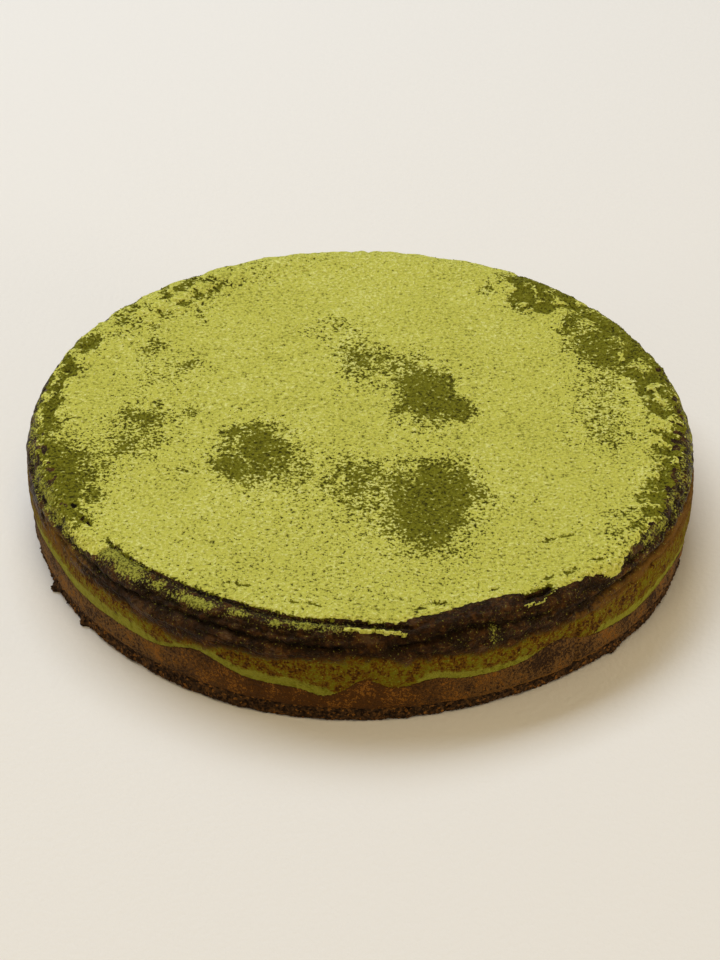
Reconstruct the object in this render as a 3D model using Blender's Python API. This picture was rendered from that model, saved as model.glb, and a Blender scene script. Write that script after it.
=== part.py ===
"""A whole round matcha cheesecake, baked in a 24 cm ring.

Three layers are stacked with a hairline between them: a pressed crumb base, a brown layer and a
green layer whose side and top are baked to a wrinkled rind. Each layer is a turned body whose
points are then moved by the cake's own unevenness: its outline is a little out of round, the line
between brown and green swells and dips, the rind is folded, and the rim is lumpy and cracked.

Lengths are millimetres until make_mesh turns them to metres. Angles are in degrees, counted from
+X towards +Y, so the front of the cake is at 270. The origin is under the middle of the cake.
"""

import math

import bmesh
import bpy
from mathutils import Vector, noise

MM = 0.001
SEGMENTS = 144

# Driving dimensions
RADIUS = 121.4
BASE_HEIGHT = 5.6
LAYER_LINE = 14.6
RIND_LINE = 26.0
RIM_HEIGHT = 38.6
MIDDLE_HEIGHT = 37.2
LAYER_GAP = 0.3

# How far each part of the wall stands in or out of RADIUS
FOOT_INSET = 0.9
BASE_INSET = 0.9
BULGE = 1.3
SHOULDER_INSET = 1.0
BACK_FILL = 1.8
BACK_ANGLE = 90.0
BACK_FILL_FROM = 27.6
BACK_FILL_FULL = 33.6

# The share of RADIUS over which the unevenness of the outline sets in
EDGE_FROM = 0.9
EDGE_FULL = 0.97
WALL_FROM = 0.94

# The heights over which the wall gives way to the top, and where the rind's swells have died away
TOP_FROM = 30.6
TOP_FULL = 36.6
SWELLS_END = 32.6

# Waves round the outline: waves in a turn, size, angle of a crest
OUT_OF_ROUND = ((2, 0.6, 98), (4, 0.55, 66), (5, 0.2, 36), (6, 0.3, 25))
RIM_SWAY = ((1, 0.5, 90), (3, 0.35, 20), (7, 0.25, 10))
RIM_FROM = 90.0
RIM_FULL = 112.0
BASE_SWAY = ((3, 0.9, 245),)

# Swells of the line between brown and green: angle, height, spread in degrees
LAYER_SWELLS = (
    (190, -1.0, 7), (207, 2.6, 8), (230, 0.8, 6), (244, 6.2, 5.5), (264.5, -2.8, 3),
    (271, 4.6, 2.6), (282, 2.4, 3.5), (303, 5.0, 4.5), (321, -1.7, 8), (342, -3.4, 7),
    (12, 2.6, 6), (38, -1.6, 9), (66, 3.8, 5), (92, 1.4, 4), (118, -2.4, 8),
    (141, 3.2, 5), (166, 1.8, 6),
)

# The share of RADIUS within which the lines between the layers are level, and their other points
CALM_SHARE = 0.35
LINE_SHARES = (CALM_SHARE, 0.7, 0.9)

# Swells of the rind's lower edge: angle, height, spread in degrees
RIND_SWELLS = (
    (212, -1.0, 14), (240, -2.3, 6), (268, 2.4, 8), (294, -1.0, 6), (325, 2.5, 8),
    (352, -1.6, 10), (24, 1.8, 12), (70, -1.2, 9), (104, 1.5, 10), (150, -1.4, 14),
    (182, 1.2, 8),
)

# Folds of the rind: middle height, sway, depth, half width, angle where it is deepest
RIND_FOLDS = (
    (32.3, ((2, 0.5, 60), (5, 0.7, 30)), 1.6, 1.3, 245),
    (35.0, ((3, 0.6, 40), (4, 0.6, 70)), 1.0, 1.2, 287),
    (29.0, ((3, 0.6, 95), (7, 0.5, 18)), 0.7, 1.2, 110),
)
FOLD_SPREAD = 60.0
FOLD_LEAST = 0.35

# The lip under each fold: its share of the fold's depth, and how far below the fold it lies
FOLD_LIP = 0.4
FOLD_LIP_BELOW = 3.0

# The crack inside the front rim: angles from and to, radius, depth, half width
CRACK = (221, 275, 115.4, 1.4, 1.7)
CRACK_FADE = 4.0
CRACK_SWAY = ((9, 1.2, 5),)

# Lumpy stretches of the rim: middle angle, spread, lump height, lump width
LUMPY_RIM = ((12, 34, 1.3, 9.0), (134, 22, 1.1, 10.0), (205, 20, 0.7, 8.0), (300, 26, 0.6, 8.0))
LUMPY_FROM = 99.0
LUMPY_FULL = 108.0

# Crumbs that stand out at the foot: angle, how far, spread in degrees
FOOT_CRUMBS = ((204.5, 2.4, 1.5), (217, 2.0, 1.4), (316, 1.2, 1.3), (97, 1.6, 1.5))
CRUMB_SIZE = 6.5
CRUMB_RELIEF = 0.55
CRUMB_TOP_FROM = 2.0
CRUMB_TOP_FULL = 4.5

BASE_COLOUR = (0.022, 0.013, 0.009)
BROWN_COLOUR = (0.085, 0.045, 0.016)
MATCHA_COLOUR = (0.480, 0.460, 0.085)


def turn_between(angle, other):
    """The smaller turn from one angle to another, in degrees, between -180 and 180."""
    return (angle - other + 180.0) % 360.0 - 180.0


def bump(distance, spread):
    """A smooth hump: 1 at its middle, and near 0 at twice its spread."""
    return math.exp(-((distance / spread) ** 2))


def ramp(value, low, high):
    """0 below low, 1 above high, and a smooth rise between them."""
    share = min(1.0, max(0.0, (value - low) / (high - low)))
    return share * share * (3.0 - 2.0 * share)


def sway(angle, waves):
    """The sum of the waves round the cake at an angle."""
    return sum(size * math.cos(math.radians(count * (angle - crest))) for count, size, crest in waves)


def swell(angle, swells):
    """The sum of separate swells at an angle."""
    return sum(
        height * bump(turn_between(angle, middle), spread) for middle, height, spread in swells
    )


def base_swell(angle, radius):
    """How far the top of the crumb base lies from BASE_HEIGHT; it calms towards the middle."""
    return sway(angle, BASE_SWAY) * ramp(radius, CALM_SHARE * RADIUS, RADIUS)


def layer_swell(angle, radius):
    """How far the line between brown and green lies from LAYER_LINE; it calms towards the middle."""
    return swell(angle, LAYER_SWELLS) * ramp(radius, CALM_SHARE * RADIUS, RADIUS)


def lift(angle, height, radius):
    """How far a point at a nominal height is carried up by the swell of the layers."""
    lines = (
        (0.0, 0.0), (BASE_HEIGHT, base_swell(angle, radius)), (LAYER_LINE, layer_swell(angle, radius)),
        (RIND_LINE, swell(angle, RIND_SWELLS)), (SWELLS_END, 0.0),
    )
    for (low, lift_below), (high, lift_above) in zip(lines, lines[1:]):
        if height <= high:
            share = (height - low) / (high - low)
            return lift_below * (1.0 - share) + lift_above * share
    return 0.0


def fold_depth(angle, height):
    """How far the folds of the rind pull the wall in at a height."""
    depth = 0.0
    for middle, waves, deepest, half_width, angle_of_deepest in RIND_FOLDS:
        near = bump(turn_between(angle, angle_of_deepest), FOLD_SPREAD)
        strength = FOLD_LEAST + (1.0 - FOLD_LEAST) * near
        from_line = height - middle - sway(angle, waves)
        groove = bump(from_line, half_width)
        lip = FOLD_LIP * bump(from_line + FOLD_LIP_BELOW, half_width)
        depth += deepest * strength * (groove - lip)
    return depth


def crack_depth(angle, radius):
    """How deep the crack inside the front rim is."""
    start, end, middle, depth, half_width = CRACK
    begun = ramp(angle, start - CRACK_FADE, start + CRACK_FADE)
    ended = ramp(angle, end - CRACK_FADE, end + CRACK_FADE)
    return depth * begun * (1.0 - ended) * bump(radius - middle - sway(angle, CRACK_SWAY), half_width)


def lumps(point, angle, radius):
    """The lumps of baked cream that stand on some stretches of the rim."""
    height = 0.0
    for middle, spread, size, width in LUMPY_RIM:
        share = bump(turn_between(angle, middle), spread) * ramp(radius, LUMPY_FROM, LUMPY_FULL)
        height += share * size * noise.noise(point / width)
    return height


def crumbs(point, angle, height):
    """The rough side of the crumb base, with the crumbs that stand out at its foot."""
    rough = CRUMB_RELIEF * noise.noise(point / CRUMB_SIZE)
    for middle, reach, spread in FOOT_CRUMBS:
        low = 1.0 - ramp(height, CRUMB_TOP_FROM, CRUMB_TOP_FULL)
        rough += reach * bump(turn_between(angle, middle), spread) * low
    return rough


def out_of_round(angle, radius):
    """How far the outline stands out at an angle; only the outer part of the cake follows it."""
    return sway(angle, OUT_OF_ROUND) * ramp(radius, EDGE_FROM * RADIUS, EDGE_FULL * RADIUS)


def back_fill(angle, height):
    """How much fuller the shoulder is at the back than at the front."""
    share = 0.5 + 0.5 * math.cos(math.radians(angle - BACK_ANGLE))
    return BACK_FILL * share * ramp(height, BACK_FILL_FROM, BACK_FILL_FULL)


def base_point(point, angle, radius):
    """Move a point of the crumb base."""
    share = ramp(radius, EDGE_FROM * RADIUS, EDGE_FULL * RADIUS)
    moved = radius + out_of_round(angle, radius) + share * crumbs(point, angle, point.z)
    return moved, point.z + lift(angle, point.z, radius)


def brown_point(point, angle, radius):
    """Move a point of the brown layer."""
    return radius + out_of_round(angle, radius), point.z + lift(angle, point.z, radius)


def matcha_point(point, angle, radius):
    """Move a point of the green layer."""
    top = ramp(point.z, TOP_FROM, TOP_FULL)
    rim = ramp(radius, RIM_FROM, RIM_FULL) * sway(angle, RIM_SWAY)
    height = point.z + lift(angle, point.z, radius)
    height += top * (rim + lumps(point, angle, radius) - crack_depth(angle, radius))
    edge = ramp(radius, WALL_FROM * RADIUS, EDGE_FULL * RADIUS)
    rind = edge * ramp(point.z, RIND_LINE - 1.0, RIND_LINE + 2.0)
    radius += out_of_round(angle, radius) + edge * back_fill(angle, point.z)
    return radius - rind * fold_depth(angle, height), height


def make_mesh(name, profile, move):
    """Turn a profile of radius and height round the axis, then move each point."""
    mesh = bpy.data.meshes.new(name)
    body = bmesh.new()
    points = [body.verts.new((radius, 0.0, height)) for radius, height in profile]
    edges = [body.edges.new(pair) for pair in zip(points, points[1:])]
    bmesh.ops.spin(
        body, geom=points + edges, cent=(0, 0, 0), axis=(0, 0, 1),
        steps=SEGMENTS, angle=math.tau, use_merge=True,
    )
    bmesh.ops.remove_doubles(body, verts=body.verts, dist=0.001)
    bmesh.ops.triangulate(body, faces=body.faces, quad_method="FIXED")
    for vert in body.verts:
        radius = math.hypot(vert.co.x, vert.co.y)
        angle = math.degrees(math.atan2(vert.co.y, vert.co.x)) % 360.0
        moved, height = move(vert.co.copy(), angle, radius)
        stretch = moved / radius if radius > 1.0 else 1.0
        vert.co = Vector((vert.co.x * stretch, vert.co.y * stretch, height))
    bmesh.ops.scale(body, vec=(MM, MM, MM), verts=body.verts)
    bmesh.ops.recalc_face_normals(body, faces=body.faces)
    body.to_mesh(mesh)
    body.free()
    mesh.shade_smooth()
    mesh.set_sharp_from_angle(angle=math.radians(50.0))
    return mesh


def make_material(name, colour, roughness):
    """A plain Principled material."""
    material = bpy.data.materials.new(name)
    material.use_nodes = True
    shader = material.node_tree.nodes["Principled BSDF"]
    shader.inputs["Base Color"].default_value = (*colour, 1.0)
    shader.inputs["Roughness"].default_value = roughness
    shader.inputs["Metallic"].default_value = 0.0
    return material


def add_layer(name, profile, move, colour, roughness):
    """Make one layer of the cake as an object of its own."""
    mesh = make_mesh(name, profile, move)
    mesh.materials.append(make_material(name, colour, roughness))
    layer = bpy.data.objects.new(name, mesh)
    bpy.context.scene.collection.objects.link(layer)
    return layer


def base_profile():
    """The crumb base, from the middle of its top to the middle of its underside."""
    foot = RADIUS - FOOT_INSET
    edge = RADIUS - BASE_INSET
    inside = tuple((radius, BASE_HEIGHT) for radius in line_radii(edge - 0.6))
    return inside + (
        (edge, BASE_HEIGHT - 0.8), (edge, 0.5 * BASE_HEIGHT), (foot + 0.1, 1.2), (foot - 0.5, 0.0),
        (0.0, 0.0),
    )


def line_radii(edge):
    """The radii at which the swelling line between brown and green has points, from the middle out."""
    return (0.0, *(share * RADIUS for share in LINE_SHARES), edge)


def brown_profile():
    """The brown layer, from the middle of its top to the middle of its underside."""
    bottom = BASE_HEIGHT + LAYER_GAP
    top = LAYER_LINE - 0.5 * LAYER_GAP
    edge = RADIUS + 0.3
    above = tuple((radius, top) for radius in line_radii(edge))
    below = tuple((radius, bottom) for radius in reversed(line_radii(edge - 0.7)))
    return above + ((edge, 0.5 * (bottom + top)), (edge - 0.3, bottom + 1.4)) + below


def matcha_profile():
    """The green layer, from the middle of its underside, up its side to the middle of its top."""
    bottom = LAYER_LINE + 0.5 * LAYER_GAP
    underside = tuple((radius, bottom) for radius in line_radii(RADIUS + 0.3))
    bulge = RADIUS + BULGE
    shoulder = RADIUS - SHOULDER_INSET
    side = (
        (RADIUS + 0.8, bottom + 3.0), (bulge, RIND_LINE - 5.0), (bulge, RIND_LINE - 2.2),
        (bulge - 0.3, RIND_LINE), (bulge - 0.5, 27.6), (bulge - 0.8, 29.2), (bulge - 1.1, 30.8),
        (bulge - 1.5, 32.4), (shoulder - 0.4, 34.1), (shoulder - 1.4, RIM_HEIGHT - 3.0),
        (shoulder - 2.8, RIM_HEIGHT - 1.7), (shoulder - 4.4, RIM_HEIGHT - 0.8),
        (shoulder - 5.9, RIM_HEIGHT - 0.3),
    )
    top = (
        (112.4, RIM_HEIGHT), (109.8, RIM_HEIGHT - 0.1), (106.5, RIM_HEIGHT - 0.3),
        (102.5, RIM_HEIGHT - 0.6), (96.0, MIDDLE_HEIGHT + 0.5), (84.0, MIDDLE_HEIGHT + 0.3),
        (64.0, MIDDLE_HEIGHT + 0.1), (34.0, MIDDLE_HEIGHT), (0.0, MIDDLE_HEIGHT),
    )
    return underside + side + top


def clear_scene():
    """Start from an empty scene."""
    for thing in list(bpy.data.objects):
        bpy.data.objects.remove(thing)


def main():
    clear_scene()
    add_layer("crumb_base", base_profile(), base_point, BASE_COLOUR, 0.85)
    add_layer("brown_layer", brown_profile(), brown_point, BROWN_COLOUR, 0.65)
    add_layer("matcha_layer", matcha_profile(), matcha_point, MATCHA_COLOUR, 0.75)


main()
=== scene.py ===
"""A whole baked matcha cheesecake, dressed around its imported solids.

The cake is seen as it comes out of its ring: a pressed crumb base, a brown layer, a green layer whose
side and rim have baked to a dark folded rind, and dry green powder on top that has gone damp in patches.

Lengths of the cake are millimetres and turn to metres where a mesh or a material is made, and those of
the studio are metres. Angles are degrees, counted from +X towards +Y, so the front of the cake is at 270.
A run is the way along the cake's skin from the middle of the top, out over the rim and down the side.
"""

import itertools
import logging
import math
from dataclasses import dataclass, field
from enum import Enum

import bpy
import numpy as np
from bpy.types import Material, NodeSocket, NodeTree, Object
from mathutils import Matrix, Vector

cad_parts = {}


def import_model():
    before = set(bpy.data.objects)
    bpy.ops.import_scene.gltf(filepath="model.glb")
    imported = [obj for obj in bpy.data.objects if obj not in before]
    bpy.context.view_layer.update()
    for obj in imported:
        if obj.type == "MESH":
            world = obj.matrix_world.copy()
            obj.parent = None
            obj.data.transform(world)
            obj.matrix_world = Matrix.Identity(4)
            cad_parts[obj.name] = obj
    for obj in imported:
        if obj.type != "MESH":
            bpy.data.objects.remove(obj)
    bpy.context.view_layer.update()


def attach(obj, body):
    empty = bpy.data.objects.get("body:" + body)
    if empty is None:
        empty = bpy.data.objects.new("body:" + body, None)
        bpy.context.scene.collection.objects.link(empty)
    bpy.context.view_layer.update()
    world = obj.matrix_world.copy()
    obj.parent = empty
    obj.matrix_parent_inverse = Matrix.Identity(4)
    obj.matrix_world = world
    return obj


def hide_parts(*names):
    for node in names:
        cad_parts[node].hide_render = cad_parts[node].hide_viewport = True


LOG = logging.getLogger("cheesecake")
MM = 0.001
BAKE_MAP = "OFBake"

# How food bends light, and how much of each noise is in its finer parts
FOOD_IOR = 1.45
ROUGHENING = 0.55

# The inputs of a node that mixes two colours, and what such a node is set to
SHARE, UNDER, OVER = 0, 6, 7
COLOURS = {"out": 2, "data_type": "RGBA"}

Array = np.ndarray


# Numbers in space

def linear(hex_colour: str) -> tuple[float, float, float, float]:
    """Turn an sRGB hex colour to the linear colour that Blender works in.

    Args:
        hex_colour: six hex digits.

    Returns:
        Red, green, blue and an alpha of 1.
    """
    parts = [int(hex_colour[i:i + 2], 16) / 255.0 for i in (0, 2, 4)]
    return (*(p / 12.92 if p <= 0.04045 else ((p + 0.055) / 1.055) ** 2.4 for p in parts), 1.0)


def per_metre(size: float) -> float:
    """How many blobs of a pattern fit in a metre, from the size of one in millimetres."""
    return 1.0 / (size * MM)


def ramp(value: Array, low: float, high: float) -> Array:
    """Rise smoothly from 0 at low to 1 at high.

    Args:
        value: where the ramp is read.
        low: the value at which it is 0.
        high: the value at which it is 1.

    Returns:
        The height of the ramp at each value.
    """
    share = np.clip((value - low) / (high - low), 0.0, 1.0)
    return share * share * (3.0 - 2.0 * share)


def bump(distance: Array, spread: Array | float) -> Array:
    """A smooth hump, 1 at its middle and near 0 at twice its spread.

    Args:
        distance: how far from the middle it is read.
        spread: the hump's half width.

    Returns:
        The height of the hump at each distance.
    """
    return np.exp(-((distance / spread) ** 2))


def turn_between(angle: Array, other: float) -> Array:
    """The smaller turn from one angle to another.

    Args:
        angle: angles in degrees.
        other: the angle that they are counted from.

    Returns:
        The turns in degrees, between -180 and 180.
    """
    return (angle - other + 180.0) % 360.0 - 180.0


def sway(angle: Array, waves: tuple) -> Array:
    """Add up the waves round the cake.

    Args:
        angle: where they are read, in degrees.
        waves: for each wave, how many fit in a turn, its size and the angle of a crest.

    Returns:
        The sum at each angle.
    """
    return sum(size * np.cos(np.radians(count * (angle - crest))) for count, size, crest in waves)


def swell(angle: Array, swells: tuple) -> Array:
    """Add up separate swells round the cake.

    Args:
        angle: where they are read, in degrees.
        swells: for each swell, its angle, height and spread in degrees.

    Returns:
        The sum at each angle.
    """
    return sum(height * bump(turn_between(angle, at), spread) for at, height, spread in swells)


def cell_number(cell: Array, seed: int) -> Array:
    """Give each whole-number cell of space a number of its own.

    Args:
        cell: whole numbers, with three in the last axis.
        seed: picks one set of numbers.

    Returns:
        A number from 0 to 1 for each cell, the same at each run.
    """
    wide = cell.astype(np.int64).astype(np.uint32)
    mixed = wide[..., 0] * np.uint32(374761393) + wide[..., 1] * np.uint32(668265263)
    mixed = mixed + wide[..., 2] * np.uint32(2246822519) + np.uint32((seed * 3266489917) % 2**32)
    mixed = (mixed ^ (mixed >> np.uint32(13))) * np.uint32(1274126177)
    mixed = (mixed ^ (mixed >> np.uint32(15))) * np.uint32(2654435761)
    return (mixed ^ (mixed >> np.uint32(16))) / 2.0**32


def cloud(points: Array, size: float, seed: int, octaves: int = 2) -> Array:
    """Smooth noise in space.

    Args:
        points: where it is read, with three numbers in the last axis.
        size: the width of its largest blobs.
        seed: picks one pattern.
        octaves: how many finer patterns are laid over each other, each half as strong.

    Returns:
        A number from about -1 to 1 for each point.
    """
    total = np.zeros(points.shape[:-1])
    for octave in range(octaves):
        spot = points / (size * 0.5**octave) + 19.7 * (seed + 1) + 7.3 * octave
        cell = np.floor(spot)
        part = spot - cell
        fade = part**3 * (part * (part * 6.0 - 15.0) + 10.0)
        for corner in itertools.product((0.0, 1.0), repeat=3):
            at = cell + corner
            away = part - corner
            pull = sum(
                (cell_number(at, seed * 31 + octave * 7 + k) * 2.0 - 1.0) * away[..., k] for k in range(3)
            )
            near = np.prod(np.where(corner, fade, 1.0 - fade), axis=-1)
            total += 1.6 * 0.5**octave * near * pull
    return total


def pebbles(points: Array, size: float, seed: int) -> tuple[Array, Array]:
    """Pack space with round grains and find the nearest one.

    Args:
        points: where it is read, with three numbers in the last axis.
        size: how far apart the grains lie.
        seed: picks one packing.

    Returns:
        How far the nearest grain's middle is, in sizes, and that grain's own number from 0 to 1.
    """
    spot = points / size
    cell = np.floor(spot)
    nearest = np.full(points.shape[:-1], 9.0)
    own = np.zeros(points.shape[:-1])
    for step in itertools.product((-1.0, 0.0, 1.0), repeat=3):
        at = cell + step
        away = [spot[..., k] - at[..., k] - cell_number(at, seed + k) for k in range(3)]
        distance = np.sqrt(sum(a * a for a in away))
        closer = distance < nearest
        nearest = np.where(closer, distance, nearest)
        own = np.where(closer, cell_number(at, seed + 5), own)
    return nearest, own


def along(angle: Array, stops: tuple) -> Array:
    """Read a value that changes round the cake from its stops.

    Args:
        angle: where it is read, in degrees.
        stops: pairs of angle and value, in order round a full turn.

    Returns:
        The value at each angle, straight between the stops.
    """
    angles, values = np.array(stops, dtype=float).T
    return np.interp(angle % 360.0, angles, values, period=360.0)


def turned(angle: Array, radius: Array | float, height: Array) -> Array:
    """Points from their angles round the cake, distances from its axis and heights."""
    turn = np.radians(angle)
    return np.stack([radius * np.cos(turn), radius * np.sin(turn), height], axis=-1)


# The form of the cake, with the sizes of its solids

@dataclass(frozen=True)
class CakeForm:
    """The cake's own form: the sizes that its solids have, and how they sway from a true round.

    A sway has waves, each with how many fit in a turn, its size and the angle of a crest. The swells of a
    line between two layers each have an angle, a height and a spread in degrees.
    """

    radius: float = 121.4
    base_height: float = 5.6
    layer_line: float = 14.6
    rind_line: float = 26.0
    rim_height: float = 38.6
    middle_height: float = 37.2
    layer_gap: float = 0.3
    bulge: float = 1.3
    shoulder_inset: float = 1.0
    back_fill: float = 1.8
    back_angle: float = 90.0
    swells_end: float = 32.6
    out_of_round: tuple = ((2, 0.6, 98), (4, 0.55, 66), (5, 0.2, 36), (6, 0.3, 25))
    rim_sway: tuple = ((1, 0.5, 90), (3, 0.35, 20), (7, 0.25, 10))
    base_sway: tuple = ((3, 0.9, 245),)
    layer_swells: tuple = (
        (190, -1.0, 7), (207, 2.6, 8), (230, 0.8, 6), (244, 6.2, 5.5), (264.5, -2.8, 3),
        (271, 4.6, 2.6), (282, 2.4, 3.5), (303, 5.0, 4.5), (321, -1.7, 8), (342, -3.4, 7),
        (12, 2.6, 6), (38, -1.6, 9), (66, 3.8, 5), (92, 1.4, 4), (118, -2.4, 8),
        (141, 3.2, 5), (166, 1.8, 6),
    )
    rind_swells: tuple = (
        (212, -1.0, 14), (240, -2.3, 6), (268, 2.4, 8), (294, -1.0, 6), (325, 2.5, 8),
        (352, -1.6, 10), (24, 1.8, 12), (70, -1.2, 9), (104, 1.5, 10), (150, -1.4, 14),
        (182, 1.2, 8),
    )
    calm_share: float = 0.35
    edge_share: tuple = (0.9, 0.97)
    fuller_over: tuple = (27.6, 33.6)
    rim_over: tuple = (30.6, 36.6)
    rim_beyond: tuple = (90.0, 112.0)

    def cake_profile(self) -> tuple:
        """The skin of the green layer: radius and height from the middle of the top to the layer line."""
        bulge, shoulder = self.radius + self.bulge, self.radius - self.shoulder_inset
        rim, middle, line = self.rim_height, self.middle_height, self.rind_line
        return (
            (0.0, middle), (34.0, middle), (64.0, middle + 0.1), (84.0, middle + 0.3),
            (96.0, middle + 0.5), (102.5, rim - 0.6), (106.5, rim - 0.3), (109.8, rim - 0.1),
            (112.4, rim), (shoulder - 5.9, rim - 0.3), (shoulder - 4.4, rim - 0.8),
            (shoulder - 2.8, rim - 1.7), (shoulder - 1.4, rim - 3.0), (shoulder - 0.4, 34.1),
            (bulge - 1.5, 32.4), (bulge - 1.1, 30.8), (bulge - 0.8, 29.2), (bulge - 0.5, 27.6),
            (bulge - 0.3, line), (bulge, line - 2.2), (bulge, line - 5.0),
            (self.radius + 0.8, self.layer_line + 3.15), (self.radius + 0.3, self.layer_line),
        )

    def layer_rise(self, angle: Array, radius: Array) -> Array:
        """How far the line between brown and green lies from its own height."""
        return swell(angle, self.layer_swells) * self.calm(radius)

    def calm(self, radius: Array) -> Array:
        """How much of the layers' waves is left towards the middle of the cake."""
        return ramp(radius, self.calm_share * self.radius, self.radius)

    def lift(self, angle: Array, height: Array, radius: Array) -> Array:
        """How far a point at a nominal height is carried up by the swells of the layers.

        Args:
            angle: degrees round the cake.
            height: nominal heights.
            radius: distances from the axis.

        Returns:
            The rise of each point.
        """
        lines = (
            (0.0, 0.0), (self.base_height, sway(angle, self.base_sway) * self.calm(radius)),
            (self.layer_line, self.layer_rise(angle, radius)),
            (self.rind_line, swell(angle, self.rind_swells)), (self.swells_end, 0.0),
        )
        rise = np.zeros(np.broadcast(angle, height, radius).shape)
        for (low, below), (high, above) in zip(lines, lines[1:]):
            share = (height - low) / (high - low)
            inside = (height > low) & (height <= high)
            rise = np.where(inside, below * (1.0 - share) + above * share, rise)
        return rise

    def settle(self, angle: Array, radius: Array, height: Array) -> tuple[Array, Array]:
        """Move nominal points to where the cake's unevenness takes them.

        Args:
            angle: degrees round the cake.
            radius: nominal distances from the axis.
            height: nominal heights.

        Returns:
            The radius and height of each point on the real cake.
        """
        edge = ramp(radius, self.edge_share[0] * self.radius, self.edge_share[1] * self.radius)
        back = 0.5 + 0.5 * np.cos(np.radians(angle - self.back_angle))
        fuller = self.back_fill * back * ramp(height, *self.fuller_over)
        rim = ramp(height, *self.rim_over) * ramp(radius, *self.rim_beyond) * sway(angle, self.rim_sway)
        moved = radius + edge * (sway(angle, self.out_of_round) + fuller)
        return moved, height + self.lift(angle, height, radius) + rim


FORM = CakeForm()


class Along(Enum):
    """What the second number of a crease's points is."""

    HEIGHT = "height above the floor"
    RUN = "way from the middle along the skin"


@dataclass(frozen=True)
class Crease:
    """A groove or ridge that runs along the skin: its points, how deep it is and how wide."""

    path: tuple
    depth: float
    width: float
    along: Along = Along.HEIGHT
    fade: float = 1.2

    def press(self, angle: Array, run: Array, height: Array) -> Array:
        """How far this crease moves the skin in.

        Args:
            angle: degrees round the cake, of any turn.
            run: the way along the skin.
            height: the height above the floor.

        Returns:
            The depth at each point, below 0 for a ridge.
        """
        angles, places = np.array(self.path, dtype=float).T
        middle = 0.5 * (angles[0] + angles[-1])
        near = middle + turn_between(angle, middle)
        place = height if self.along is Along.HEIGHT else run
        wobble = 0.25 * np.sin(near * 2.1 + places[0]) + 0.15 * np.sin(near * 4.7)
        off = (place - np.interp(near, angles, places) - wobble) / self.width
        ends = ramp(near, angles[0] - self.fade, angles[0] + self.fade)
        ends = ends * (1.0 - ramp(near, angles[-1] - self.fade, angles[-1] + self.fade))
        return self.depth * ends * np.exp(-np.abs(off) ** 1.4)


def along_run(*rows: tuple) -> tuple[Crease, ...]:
    """Make creases whose points are given by run, each from its path, depth, width and any fade."""
    return tuple(Crease(path, depth, width, Along.RUN, *fade) for path, depth, width, *fade in rows)


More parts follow.
